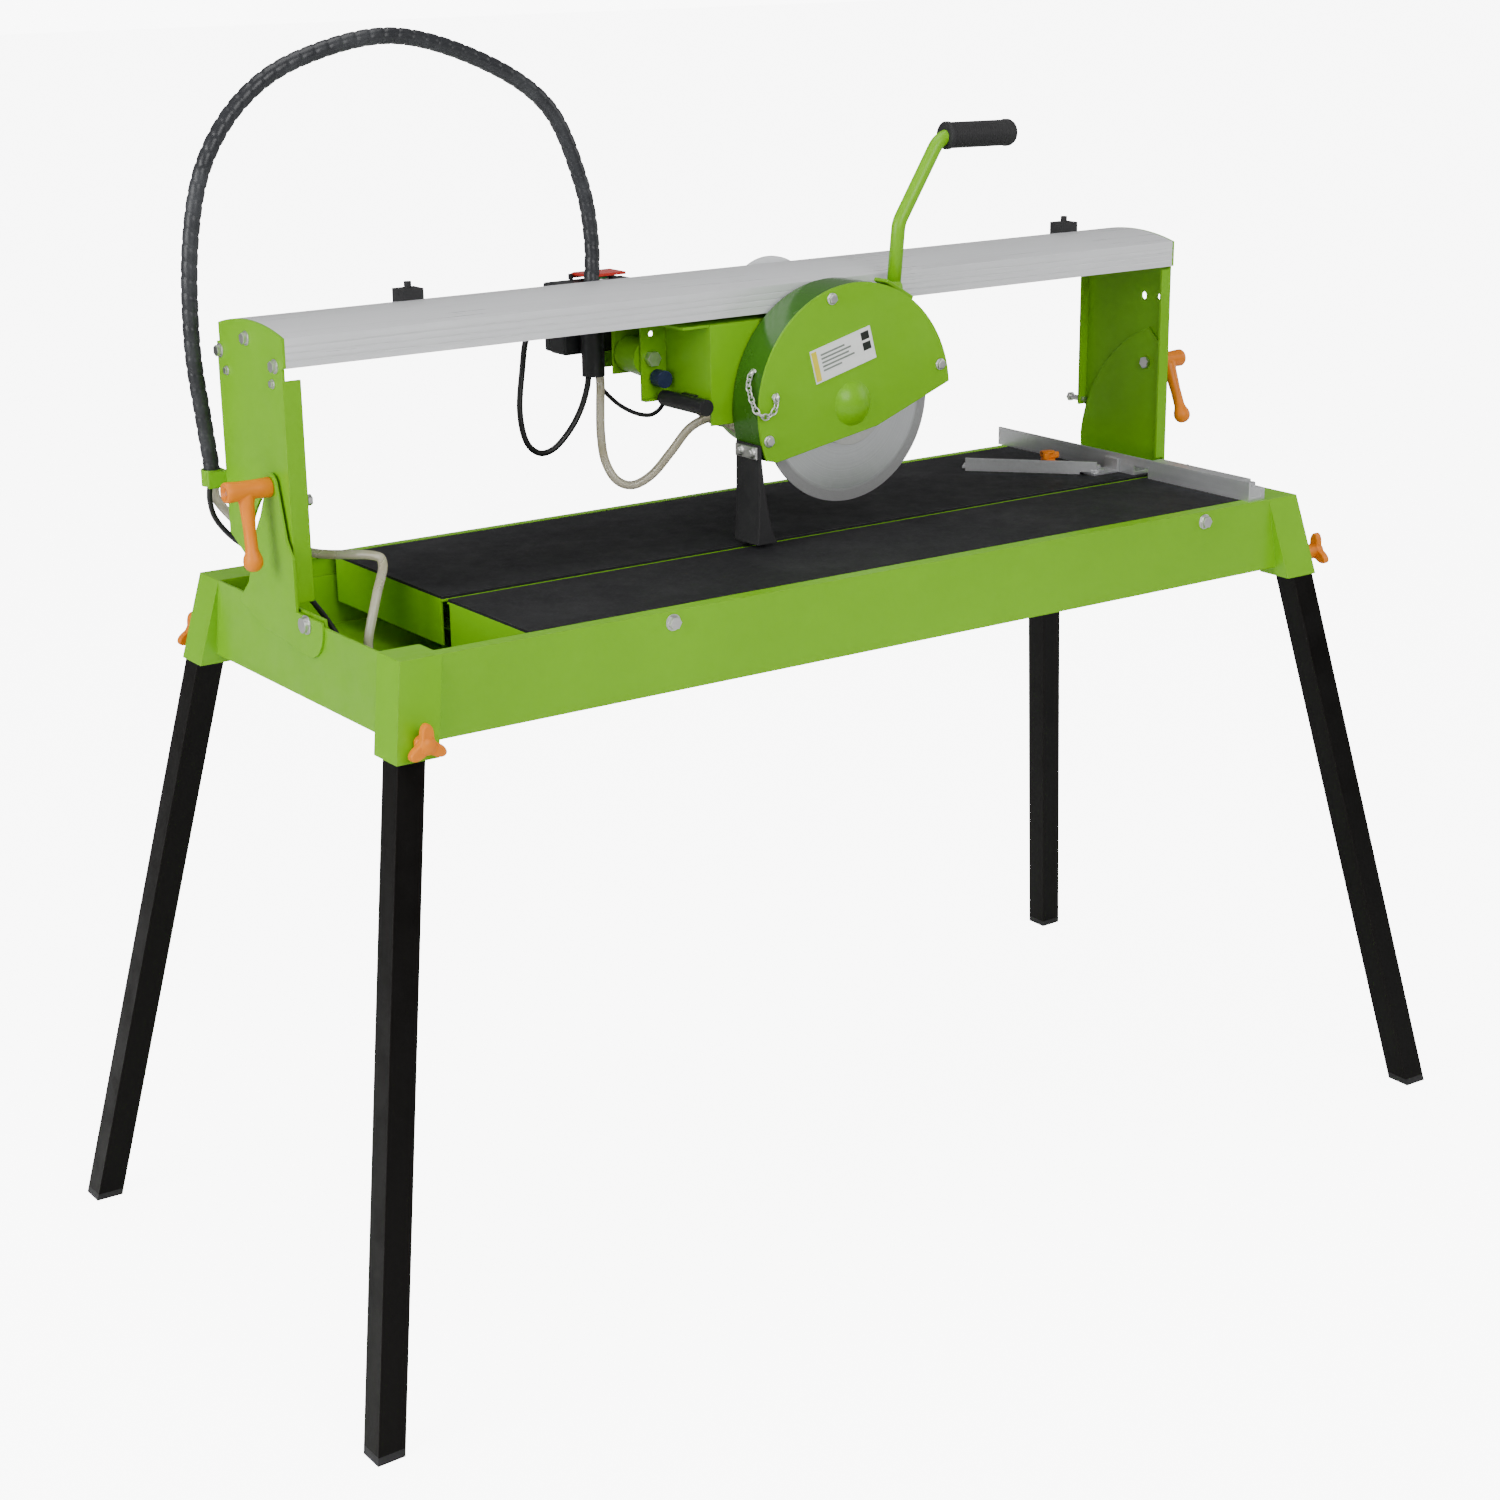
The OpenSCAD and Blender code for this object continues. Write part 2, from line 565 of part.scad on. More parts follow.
// Sleeve that the hose bundle ends in, on the trolley's back plate
module hose_gland() {
    color("black") difference() {
        union() {
            rod_z(926, 54, 13, gland_p[0], gland_p[1]);
            block([gland_p[0] - 8, gland_p[0] + 8], [gland_p[1], box_y[0]], [box_z[0] + 1, 972]);
        }
        rod_z(976, 5, bundle_d / 2 + 0.3, gland_p[0], gland_p[1]);
    }
}
module hose_bundle() { color(black) cord(bundle_route, bundle_d, 12, 3); }
module cable_loop() { color(black) cord(cable_route, cable_d, 8, 2); }
module water_hose() { color("gainsboro") cord(water_route, water_d, 10, 2); }
module capacitor_cable() { color(black) cord(cap_route, cap_cable_d, 8, 2); }
cap_z = table_z + 156;
module capacitor() {
    color("black") rod_y(-18, 78, 9, bracket_x - 13, cap_z);
    color(steel) rod_y(60 - e, 7, 8.5, bracket_x - 13, cap_z);
    color(steel) block([bracket_x - 6, bracket_x], [18, 42], [cap_z - 4, cap_z + 8]);
}
module depth_knob() {
    color("darkslateblue") {
        rod_y(62, 16, 10, head_pivot[0] + 6, head_pivot[1] - 22, 12);
        rod_y(78 - e, 6.3, 3, head_pivot[0] + 6, head_pivot[1] - 22);
    }
}

// ---------- head ----------
motor_r = 66;
module head_arm() {
    color(green) difference() {
        union() {
            rod_y(85, 40, 20, head_pivot[0], head_pivot[1], 48);
            along_y(86, 38) polygon([head_pivot + [0, 19.5], blade_c + [-45, 58], blade_c + [-68, -20],
                head_pivot + [-6, -18.5]]);
            rod_y(85.5, 39, motor_r + 9, blade_c[0], blade_c[1], 96);
        }
        rod_y(70, 70, motor_r + 0.05, blade_c[0], blade_c[1], 96);
        rod_y(70, 70, pin_r + fit, head_pivot[0], head_pivot[1]);
    }
}
pin_r = 6;
module pivot_pin() {
    color(steel) {
        rod_y(76, 57, pin_r, head_pivot[0], head_pivot[1]);
        rod_y(72.5, 8, 9, head_pivot[0], head_pivot[1], 6);
    }
}
module motor_body() {
    color("gray") {
        difference() {
            rod_y(guard_y1, 8, 70, blade_c[0], blade_c[1], 96);
            rod_y(guard_y1 - 1, 5, 10, blade_c[0], blade_c[1]);
        }
        rod_y(guard_y1 + 7, 150, motor_r, blade_c[0], blade_c[1], 96);
        for (a = [0 : 20 : 340]) translate([blade_c[0], 0, blade_c[1]]) rotate([0, a, 0])
            block([motor_r - 2, motor_r + 3], [2, 82], [-1.5, 1.5]);
    }
}
module motor_cover() {
    color("dimgray") difference() {
        rod_y(guard_y1 + 157, 48, motor_r - 2, blade_c[0], blade_c[1], 96);
        for (a = [0 : 30 : 330]) translate([blade_c[0], 0, blade_c[1]]) rotate([0, a, 0])
            block([24, 52], [guard_y1 + 200, guard_y1 + 210], [-2.5, 2.5]);
    }
}
// Guard outline, (x, z): a disc cut off along the sloping lower edge
module guard_shape(r, drop) {
    intersection() {
        translate(blade_c + [-3, 0]) circle(r, $fn = 128);
        polygon([[-90, 1060], [-90, 858 - drop], [-41, 847 - drop], [99, 872 - drop], [230, 922 - drop],
            [230, 1060]]);
    }
}
module guard_back() {
    color(green) {
        difference() {
            along_y(guard_y0 + sheet, guard_y1 - guard_y0 - sheet) guard_shape(guard_r, 0);
            along_y(guard_y0, guard_y1 - guard_y0 - sheet) guard_shape(guard_r - sheet, 20);
            rod_y(guard_y1 - 10, 20, 20, blade_c[0], blade_c[1]);
        }
        rod_y(guard_y1 - e, 8, 4, -50, 876);
    }
}
module guard_front() {
    color(green) {
        along_y(guard_y0, sheet) guard_shape(guard_r, 0);
        intersection() {
            translate([64, guard_y0 + 26, 901]) sphere(36, $fn = 64);
            block([20, 110], [guard_y0 - 12, guard_y0 + e], [850, 950]);
        }
    }
    color(steel) for (p = [[189, 932], [35, 1020], [-52, 872]]) screw_y(p[0], guard_y0, p[1], 4.5);
}
module label_plate() {
    color("white") translate([50, guard_y0 - 1.2, 957]) rotate([0, -raise_a, 0])
        translate([-43, 0, -19]) cube([86, 1.2, 38]);
}
handle_path = [[138, 1006], [147, 1092], [206, 1184]];
module handle() {
    color(green) difference() {
        union() {
            for (i = [0, 1]) {
                d = handle_path[i + 1] - handle_path[i];
                translate([handle_path[i][0], slot_y, handle_path[i][1]]) rotate([0, atan2(d[0], d[1]), 0])
                    cylinder(h = norm(d), r = 8, $fn = 32);
            }
            for (i = [1, 2]) translate([handle_path[i][0], slot_y, handle_path[i][1]]) sphere(8.6,
                $fn = 32);
            translate([206, slot_y, 1184]) rotate([0, 91, 0]) cylinder(h = 96, r = 8, $fn = 32);
            // foot: a saddle on the guard's rim
            translate([139, slot_y, 1017.6]) rotate([0, 31, 0]) cube([44, 24, 9], center = true);
        }
        rod_y(guard_y0 - 1, 60, guard_r + 0.02, blade_c[0] - 3, blade_c[1], 128);
    }
}
module grip() {
    color("black") translate([206, slot_y, 1184]) rotate([0, 91, 0]) translate([0, 0, 6]) difference() {
        union() {
            cylinder(h = 86, r = 15, $fn = 48);
            translate([0, 0, 86]) sphere(15, $fn = 48);
        }
        translate([0, 0, -1]) cylinder(h = 92, r = 8.02, $fn = 32);
        translate([0, 0, -1]) cylinder(h = 5, r = 9.4, $fn = 32);
    }
}
module splash_flap() {
    color("black") along_y(guard_y0 + 1, 46) polygon([[-63.6, 868], [-61, 868], [-60.5, 850], [-57, 820],
        [-49, 775], [-40, 755.5], [-66, 755.5], [-64, 800], [-63.6, 840]]);
}
// Clamp strip of the flap with its two bolts, and the short chain that holds the flap up
module chain_clamp() {
    color(steel) {
        block([-66.7, -63.7], [guard_y0 + 4, guard_y0 + 44], [852, 866]);
        for (y = [12, 34]) rod_x(-70.7, 4 + e, 4.5, guard_y0 + y, 859, 6);
        for (i = [0 : 5]) translate([-66 + 2 * i, guard_y0 - 6, 938 - 8 * i]) rotate([90, i % 2 * 60, 20])
            rotate_extrude($fn = 24) translate([4, 0]) circle(1.1, $fn = 16);
    }
}

// ---------- spindle ----------
module spindle() {
    color(steel) {
        rod_y(guard_y0 + 6, 46, 9.9, blade_c[0], blade_c[1]);
        rod_y(slot_y - 9, 7.8, 50, blade_c[0], blade_c[1], 64);
        rod_y(slot_y + 1.2, 7.8, 50, blade_c[0], blade_c[1], 64);
        rod_y(slot_y - 17, 8 + e, 14, blade_c[0], blade_c[1], 6);
    }
}
module blade() {
    color(steel) along_y(slot_y - 1.2, 2.4) translate(blade_c) difference() {
        circle(blade_r, $fn = 180);
        circle(9.9 + 0.02, $fn = 32);
    }
}

// ---------- fence ----------
fence_x = [half_l - 75, half_l - 49];
module fence() {
    color(steel) {
        difference() {
            union() {
                block([fence_x[0], fence_x[0] + 3], [-half_w + 5, half_w + 8], [table_z, table_z + 23]);
                block(fence_x, [-half_w + 5, half_w + 8], [table_z, table_z + 4]);
                block([fence_x[0] + 20, fence_x[1]], [-half_w + 5, half_w + 8], [table_z, table_z + 14]);
                block([fence_x[0] + 8, fence_x[1]], [-half_w + 28, slot_y - 10], [table_z, table_z + 21]);
            }
            block([fence_x[0] - 5, fence_x[1] + 5], [slot_y - 13, slot_y + 13], [table_z - 5,
                table_z + 12]);
        }
        block([fence_x[0] + 3, fence_x[1] - 5], [-half_w + 6, -half_w + 24], [table_z + 3, table_z + 16]);
        rod_z(table_z + 16 - e, 5, 6, fence_x[0] + 12, -half_w + 15, 6);
        rod_z(table_z + 4 - e, 6, 6, fence_x[0] + 12, half_w - 8, 6);
    }
}
// Mitre guide: swings on a shoe that slides along the fence
guide_p = [half_l - 105, 14];
guide_a = 132.4;
guide_l = 165;
module guide_shoe() {
    color(steel) {
        block([guide_p[0] - 12, fence_x[0] - 0.3], [guide_p[1] - 12, guide_p[1] + 12], [table_z + 0.3,
            table_z + 3.3]);
        block([fence_x[0] - 4, fence_x[0] - 0.3], [guide_p[1] - 12, guide_p[1] + 12], [table_z + 3,
            table_z + 17]);
        rod_z(table_z + 3, 5, 4, guide_p[0], guide_p[1]);
        rod_z(table_z + 7, 4, 7, guide_p[0], guide_p[1], 6);
    }
}
module mitre_guide() {
    color(steel) translate([guide_p[0], guide_p[1], table_z + 3.6]) rotate(guide_a) difference() {
        union() {
            translate([18, 8, -3]) cube([guide_l - 22, 3, 16]);
            translate([-3, 8, 0]) cube([24, 3, 13]);
            translate([0, -12, 0]) cube([guide_l, 22, 3]);
            cylinder(h = 3, r = 12, $fn = 48);
        }
        translate([0, 0, -1]) cylinder(h = 6, r = 4 + fit, $fn = 32);
        translate([59, -2, -1]) cylinder(h = 6, r = 3 + fit, $fn = 32);
    }
}
module guide_knob() {
    color(orange) translate([guide_p[0], guide_p[1], table_z]) rotate(guide_a) translate([59, -2, 0]) {
        translate([0, 0, 17.4]) star(14, 8);
        translate([0, 0, 6.7]) cylinder(h = 10.7 + e, r = 6, $fn = 32);
        translate([0, 0, 4]) cylinder(h = 4, r = 3, $fn = 32);
    }
}

base_frame();
water_tray();
leg_front_left();
leg_front_right();
leg_rear_left();
leg_rear_right();
foot_caps();
table_front();
table_rear();
mat_front();
mat_rear();
table_supports();
pivot_plate_left();
pivot_plate_right();
base_bolts();
pump();
pump_hose();
pump_cable();
knob_front_left();
knob_front_right();
knob_rear_left();
knob_rear_right();
upright_left();
upright_right();
rail();
rail_screws();
rail_stops();
hose_clip();
bevel_lever_left();
bevel_lever_right();
trolley();
trolley_cap();
wheels_left();
wheels_right();
switch_box();
stop_flap();
start_button();
hose_gland();
hose_bundle();
cable_loop();
water_hose();
capacitor_cable();
capacitor();
depth_knob();
head_arm();
pivot_pin();
motor_body();
motor_cover();
guard_back();
guard_front();
label_plate();
handle();
grip();
splash_flap();
chain_clamp();
spindle();
blade();
fence();
guide_shoe();
mitre_guide();
guide_knob();
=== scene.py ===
# %% [markdown]
# # A bridge tile saw
# A green steel machine on four splayed black legs. The cutting head hangs under an aluminium rail and
# rolls along it on a trolley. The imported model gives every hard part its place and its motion. This file
# gives the parts their finishes, and builds the pieces that deserve finer shapes: hoses, grip, clamp
# knobs, levers, handle, switch box and the rubber flap.

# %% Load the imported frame
import bpy
import bmesh
import json
import math
from mathutils import Matrix, Vector


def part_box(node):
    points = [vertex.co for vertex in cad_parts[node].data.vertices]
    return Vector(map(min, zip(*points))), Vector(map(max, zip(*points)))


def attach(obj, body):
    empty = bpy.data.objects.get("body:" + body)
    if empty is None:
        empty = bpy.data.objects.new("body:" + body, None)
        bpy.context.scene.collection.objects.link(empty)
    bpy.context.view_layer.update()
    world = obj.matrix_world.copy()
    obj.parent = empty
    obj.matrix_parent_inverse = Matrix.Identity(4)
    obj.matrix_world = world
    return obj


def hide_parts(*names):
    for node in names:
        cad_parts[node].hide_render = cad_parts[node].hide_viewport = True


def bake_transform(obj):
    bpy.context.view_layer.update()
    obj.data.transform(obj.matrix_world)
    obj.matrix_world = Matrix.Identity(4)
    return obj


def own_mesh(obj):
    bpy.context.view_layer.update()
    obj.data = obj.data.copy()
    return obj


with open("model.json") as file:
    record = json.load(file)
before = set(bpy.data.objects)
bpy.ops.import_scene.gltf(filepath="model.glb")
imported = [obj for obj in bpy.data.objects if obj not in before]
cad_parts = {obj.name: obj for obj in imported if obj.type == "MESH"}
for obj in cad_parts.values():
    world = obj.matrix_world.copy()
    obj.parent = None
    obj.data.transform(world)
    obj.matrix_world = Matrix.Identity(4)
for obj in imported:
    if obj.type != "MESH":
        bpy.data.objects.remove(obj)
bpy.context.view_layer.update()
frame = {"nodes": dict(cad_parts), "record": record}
slot_of = {row["node"]: row["material_slot"] for row in frame["record"]["subparts"]}
scene = bpy.context.scene
print("nodes:", len(frame["nodes"]))

# %% [markdown]
# ## The camera
# A camera stands at the front left, a little above the rail, and looks down at the table. The three turns
# are written as a heading, a tilt and a small roll, because those are what turns on a tripod.

# %% Place the camera
HEADING, TILT, ROLL = 35.17, 17.55, -0.70
camera_data = bpy.data.cameras.new("camera")
camera_data.lens = 64.52
camera_data.sensor_width = 36.0
camera = bpy.data.objects.new("camera", camera_data)
scene.collection.objects.link(camera)
turn = (Matrix.Rotation(math.radians(-HEADING), 4, "Z")
        @ Matrix.Rotation(math.radians(90.0 - TILT), 4, "X")
        @ Matrix.Rotation(math.radians(ROLL), 4, "Z"))
camera.matrix_world = Matrix.Translation((-1.751, -2.428, 1.439)) @ turn
scene.camera = camera
print("camera at", [round(c, 3) for c in camera.location])

# %% [markdown]
# ## Hoses and cables: their routes
# A hose is a fixed length of something flexible. Each one is described by a few points that it passes,
# in millimetres, and a smooth curve runs through them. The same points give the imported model's tubes.

# %% Routes
ROUTES = {
    "hose_bundle": [(-610, 164, 862), (-610, 164, 880), (-615, 164, 930), (-622, 163, 1010),
                    (-617, 161, 1110), (-596, 160, 1190), (-550, 158, 1252), (-482, 157, 1290),
                    (-377, 156, 1308), (-270, 155, 1278), (-191, 154, 1226), (-152, 154, 1144),
                    (-140, 154, 1077), (-142, 154.5, 1020), (-142, 154.5, 977)],
    "cable_loop": [(-150, 153, 925), (-152, 154, 912), (-160, 155, 890), (-175, 155, 868),
                   (-196, 156, 849), (-216, 157, 846), (-232, 158, 862), (-236, 162, 897),
                   (-226, 170, 941), (-213, 182, 970), (-197, 189, 983), (-182, 189, 985)],
    "water_hose": [(-137, 149, 925), (-138, 147, 912), (-144, 139, 893), (-153, 125, 865),
                   (-158, 110, 838), (-152, 97, 817), (-138, 84, 811), (-122, 68, 824),
                   (-105, 54, 850), (-88, 42, 876), (-70, 27, 888), (-57, 14, 883),
                   (-50.5, 5, 877), (-50, -2.2, 876)],
    "capacitor_cable": [(-133.5, 160.5, 925), (-131, 158, 913), (-127, 146, 902), (-124, 125, 893),
                        (-117, 104, 887), (-110, 88, 887), (-106, 76, 894), (-105, 68.5, 902)],
    "pump_hose": [(-538, -30, 713), (-536, -30, 728), (-520, -20, 764), (-504, -6, 791),
                  (-510, 8, 799), (-546, 55, 797), (-568, 120, 800), (-577, 160, 808),
                  (-592, 170, 826), (-605, 169, 844), (-607, 167, 858.5)],
    "pump_cable": [(-616, 159, 858.5), (-615, 163, 844), (-606, 172, 822), (-590, 168, 800),
                   (-572, 140, 782), (-562, 90, 766), (-558, 30, 740), (-556, -6, 716),
                   (-556, -10, 704)],
}


def millimetres(points):
    """Points in millimetres as vectors in metres."""
    return [Vector(p) * 0.001 for p in points]


def smooth_route(points, steps):
    """A smooth curve through every point, with the given number of steps between two of them."""
    route, last = [], len(points) - 1
    for i in range(last):
        a, b = points[max(i - 1, 0)], points[i]
        c, d = points[i + 1], points[min(i + 2, last)]
        for k in range(steps):
            t = k / steps
            route.append(0.5 * (2 * b + (c - a) * t + (2 * a - 5 * b + 4 * c - d) * t * t
                                + (3 * b - a - 3 * c + d) * t ** 3))
    return route + [points[last]]


def even_route(route, gap):
    """The same route with its points an even gap apart."""
    out, carry = [route[0].copy()], 0.0
    for a, b in zip(route, route[1:]):
        span = (b - a).length
        at = gap - carry
        while at <= span:
            out.append(a.lerp(b, at / span))
            at += gap
        carry = span - (at - gap)
    if (out[-1] - route[-1]).length > gap * 0.3:
        out.append(route[-1].copy())
    else:
        out[-1] = route[-1].copy()
    return out


def route_length(route):
    return sum((b - a).length for a, b in zip(route, route[1:]))


# %% [markdown]
# ## Making meshes
# Most pieces are one of three kinds. A *tube* is a ring of points carried along a route. A *turned* piece
# is a profile spun round an axis, as on a lathe. A *plate* is an outline with a thickness and softened
# edges. Each maker takes points in metres in the machine's own frame, so nothing is moved afterwards.

# %% Mesh makers
def finish_mesh(name, mesh, smooth=True):
    mesh.normal_update()
    data = bpy.data.meshes.new(name)
    mesh.to_mesh(data)
    mesh.free()
    for face in data.polygons:
        face.use_smooth = smooth
    piece = bpy.data.objects.new(name, data)
    scene.collection.objects.link(piece)
    return piece


def soften(piece, width, segments=3, angle=30.0):
    """Rounds the piece's sharp edges, and keeps its flat faces flat to the eye."""
    bevel = piece.modifiers.new("soft_edges", "BEVEL")
    bevel.width = width
    bevel.segments = segments
    bevel.limit_method = "ANGLE"
    bevel.angle_limit = math.radians(angle)
    bevel.harden_normals = True
    return piece


def tube(name, route, radius, sides=20, relief=None):
    """A closed tube along a route. relief(distance, angle) is added to the radius."""
    mesh = bmesh.new()
    rings, travelled, side = [], 0.0, None
    for i, point in enumerate(route):
        ahead = (route[min(i + 1, len(route) - 1)] - route[max(i - 1, 0)]).normalized()
        if side is None:
            side = ahead.orthogonal().normalized()
        side = (side - ahead * side.dot(ahead)).normalized()
        up = ahead.cross(side)
        if i:
            travelled += (point - route[i - 1]).length
        ring = []
        for k in range(sides):
            angle = math.tau * k / sides
            r = radius + (relief(travelled, angle) if relief else 0.0)
            ring.append(mesh.verts.new(point + r * (math.cos(angle) * side + math.sin(angle) * up)))
        rings.append(ring)
    for low, high in zip(rings, rings[1:]):
        for k in range(sides):
            n = (k + 1) % sides
            mesh.faces.new((low[k], low[n], high[n], high[k]))
    mesh.faces.new(rings[0][::-1])
    mesh.faces.new(rings[-1])
    return finish_mesh(name, mesh)


def turned(name, profile, origin, axis, sides=48, smooth=True):
    """A profile of (distance along the axis, radius) pairs spun round the axis."""
    mesh = bmesh.new()
    axis = Vector(axis).normalized()
    side = axis.orthogonal().normalized()
    up = axis.cross(side)
    rings = []
    for along, radius in profile:
        centre = Vector(origin) + axis * along
        if radius < 1e-6:
            rings.append([mesh.verts.new(centre)])
        else:
            rings.append([mesh.verts.new(centre + radius * (math.cos(math.tau * k / sides) * side
                          + math.sin(math.tau * k / sides) * up)) for k in range(sides)])
    for low, high in zip(rings, rings[1:]):
        for k in range(sides):
            n = (k + 1) % sides
            if len(low) == 1:
                mesh.faces.new((low[0], high[n], high[k]))
            elif len(high) == 1:
                mesh.faces.new((low[k], low[n], high[0]))
            else:
                mesh.faces.new((low[k], low[n], high[n], high[k]))
    for ring, flip in ((rings[0], True), (rings[-1], False)):
        if len(ring) > 1:
            mesh.faces.new(ring[::-1] if flip else ring)
    return finish_mesh(name, mesh, smooth)


def plate(name, outline, thickness, place, edge=0.0, smooth=False):
    """An outline of (x, y) pairs drawn on the plane of place and thickened along its Z."""
    mesh = bmesh.new()
    low = [mesh.verts.new(place @ Vector((x, y, 0.0))) for x, y in outline]
    high = [mesh.verts.new(place @ Vector((x, y, thickness))) for x, y in outline]
    mesh.faces.new(low[::-1])
    mesh.faces.new(high)
    for k in range(len(outline)):
        n = (k + 1) % len(outline)
        mesh.faces.new((low[k], low[n], high[n], high[k]))
    bmesh.ops.recalc_face_normals(mesh, faces=mesh.faces[:])
    piece = finish_mesh(name, mesh, smooth)
    if edge:
        soften(piece, edge)
    return piece


def block(name, low, high, edge):
    """A box between two corners, with rounded edges."""
    (x0, y0, z0), (x1, y1, z1) = low, high
    outline = [(x0, y0), (x1, y0), (x1, y1), (x0, y1)]
    return plate(name, outline, z1 - z0, Matrix.Translation((0, 0, z0)), edge)


def joined(name, pieces):
    """Several pieces as one, with their modifiers applied."""
    mesh = bmesh.new()
    graph = bpy.context.evaluated_depsgraph_get()
    for piece in pieces:
        graph.update()
        data = piece.evaluated_get(graph).to_mesh()
        mesh.from_mesh(data)
        piece.evaluated_get(graph).to_mesh_clear()
        bpy.data.objects.remove(piece)
    data = bpy.data.meshes.new(name)
    mesh.to_mesh(data)
    mesh.free()
    piece = bpy.data.objects.new(name, data)
    scene.collection.objects.link(piece)
    return piece


print("mesh makers ready")

# %% [markdown]
# ## Shared effects
# An effect that several finishes need is made once, as a node group with named inputs and outputs. Every
# finish then sets its own values. These groups only put out masks, values and colours; the shader itself
# stays in each finish.

# %% Group helpers
def make_group(name, inputs, outputs):
    group = bpy.data.node_groups.new(name, "ShaderNodeTree")
    for label, kind, value in inputs:
        socket = group.interface.new_socket(name=label, in_out="INPUT", socket_type=kind)
        socket.default_value = value
    for label, kind in outputs:
        group.interface.new_socket(name=label, in_out="OUTPUT", socket_type=kind)
    start = group.nodes.new("NodeGroupInput")
    end = group.nodes.new("NodeGroupOutput")
    return group, start, end


def add(tree, kind, **values):
    """A new node, with its settings and its inputs' values."""
    node = tree.nodes.new(kind)
    for key, value in values.items():
        if hasattr(node, key):
            setattr(node, key, value)
        else:
            node.inputs[key.replace("_", " ")].default_value = value
    return node


def link(tree, source, target):
    tree.links.new(source, target)


def remap(tree, source, low, high, to_low, to_high):
    """Maps a value from one range to another, and holds it inside the new one."""
    node = add(tree, "ShaderNodeMapRange")
    for key, value in (("From Min", low), ("From Max", high), ("To Min", to_low), ("To Max", to_high)):
        node.inputs[key].default_value = value
    link(tree, source, node.inputs["Value"])
    return node.outputs["Result"]


def maths(tree, operation, a, b=None):
    node = add(tree, "ShaderNodeMath", operation=operation)
    for socket, value in zip(node.inputs, (a, b)):
        if value is None:
            continue
        if isinstance(value, (int, float)):
            socket.default_value = value
        else:
            link(tree, value, socket)
    return node.outputs[0]


def noise_value(tree, vector, scale, detail=3.0, roughness=0.55):
    node = add(tree, "ShaderNodeTexNoise", Detail=detail, Roughness=roughness)
    if isinstance(scale, (int, float)):
        node.inputs["Scale"].default_value = scale
    else:
        link(tree, scale, node.inputs["Scale"])
    link(tree, vector, node.inputs["Vector"])
    return node.outputs["Fac"]


# %% Worn and highlit edges
# Paint wears along edges, and edges catch light: the colour that finishes lay on this mask, mostly paler,
# is partly wear and partly a painted highlight. The group compares the true normal with one that is rounded
# over a small width: where they differ, there is an edge.
worn_and_highlit_edges, start, end = make_group(
    "worn_and_highlit_edges",
    [("Width", "NodeSocketFloat", 0.0012), ("Patchiness", "NodeSocketFloat", 0.5)],
    [("Mask", "NodeSocketFloat"), ("Soft Normal", "NodeSocketVector")])
rounded = add(worn_and_highlit_edges, "ShaderNodeBevel", samples=4)
link(worn_and_highlit_edges, start.outputs["Width"], rounded.inputs["Radius"])
geometry = add(worn_and_highlit_edges, "ShaderNodeNewGeometry")
compare = add(worn_and_highlit_edges, "ShaderNodeVectorMath", operation="DOT_PRODUCT")
link(worn_and_highlit_edges, rounded.outputs["Normal"], compare.inputs[0])
link(worn_and_highlit_edges, geometry.outputs["Normal"], compare.inputs[1])
edge = remap(worn_and_highlit_edges, compare.outputs["Value"], 0.99, 0.86, 0.0, 1.0)
place = add(worn_and_highlit_edges, "ShaderNodeTexCoord")
patches = noise_value(worn_and_highlit_edges, place.outputs["Object"], 45.0, 4.0, 0.6)
patches = remap(worn_and_highlit_edges, patches, 0.42, 0.60, 0.0, 1.0)
kept = maths(worn_and_highlit_edges, "SUBTRACT", 1.0, start.outputs["Patchiness"])
patchy = maths(worn_and_highlit_edges, "ADD", maths(worn_and_highlit_edges, "MULTIPLY", patches, start.outputs["Patchiness"]), kept)
link(worn_and_highlit_edges, maths(worn_and_highlit_edges, "MULTIPLY", edge, patchy), end.inputs["Mask"])
link(worn_and_highlit_edges, rounded.outputs["Normal"], end.inputs["Soft Normal"])
print("group:", worn_and_highlit_edges.name)

# %% Orange peel
# Sprayed or powder coated paint is never quite flat. It has a fine ripple, and its gloss and depth vary a
# little over a panel.
orange_peel, start, end = make_group(
    "orange_peel",
    [("Colour", "NodeSocketColor", (0.5, 0.5, 0.5, 1)), ("Ripple Scale", "NodeSocketFloat", 320.0),
     ("Gloss Low", "NodeSocketFloat", 0.25), ("Gloss High", "NodeSocketFloat", 0.42)],
    [("Colour", "NodeSocketColor"), ("Roughness", "NodeSocketFloat"), ("Height", "NodeSocketFloat")])
place = add(orange_peel, "ShaderNodeTexCoord")
broad = noise_value(orange_peel, place.outputs["Object"], 5.0, 3.0)
darker = add(orange_peel, "ShaderNodeMix", data_type="RGBA", blend_type="MULTIPLY")
darker.inputs["Factor"].default_value = 1.0
link(orange_peel, start.outputs["Colour"], darker.inputs["A"])
shade = add(orange_peel, "ShaderNodeCombineColor")
level = remap(orange_peel, broad, 0.3, 0.7, 0.92, 1.06)
for channel in ("Red", "Green", "Blue"):
    link(orange_peel, level, shade.inputs[channel])
link(orange_peel, shade.outputs["Color"], darker.inputs["B"])
link(orange_peel, darker.outputs["Result"], end.inputs["Colour"])
smudge = noise_value(orange_peel, place.outputs["Object"], 22.0, 4.0)
gloss = add(orange_peel, "ShaderNodeMapRange")
gloss.inputs["From Min"].default_value = 0.35
gloss.inputs["From Max"].default_value = 0.65
link(orange_peel, smudge, gloss.inputs["Value"])
link(orange_peel, start.outputs["Gloss Low"], gloss.inputs["To Min"])
link(orange_peel, start.outputs["Gloss High"], gloss.inputs["To Max"])
link(orange_peel, gloss.outputs["Result"], end.inputs["Roughness"])
link(orange_peel, noise_value(orange_peel, place.outputs["Object"], start.outputs["Ripple Scale"], 2.0),
     end.inputs["Height"])
print("group:", orange_peel.name)

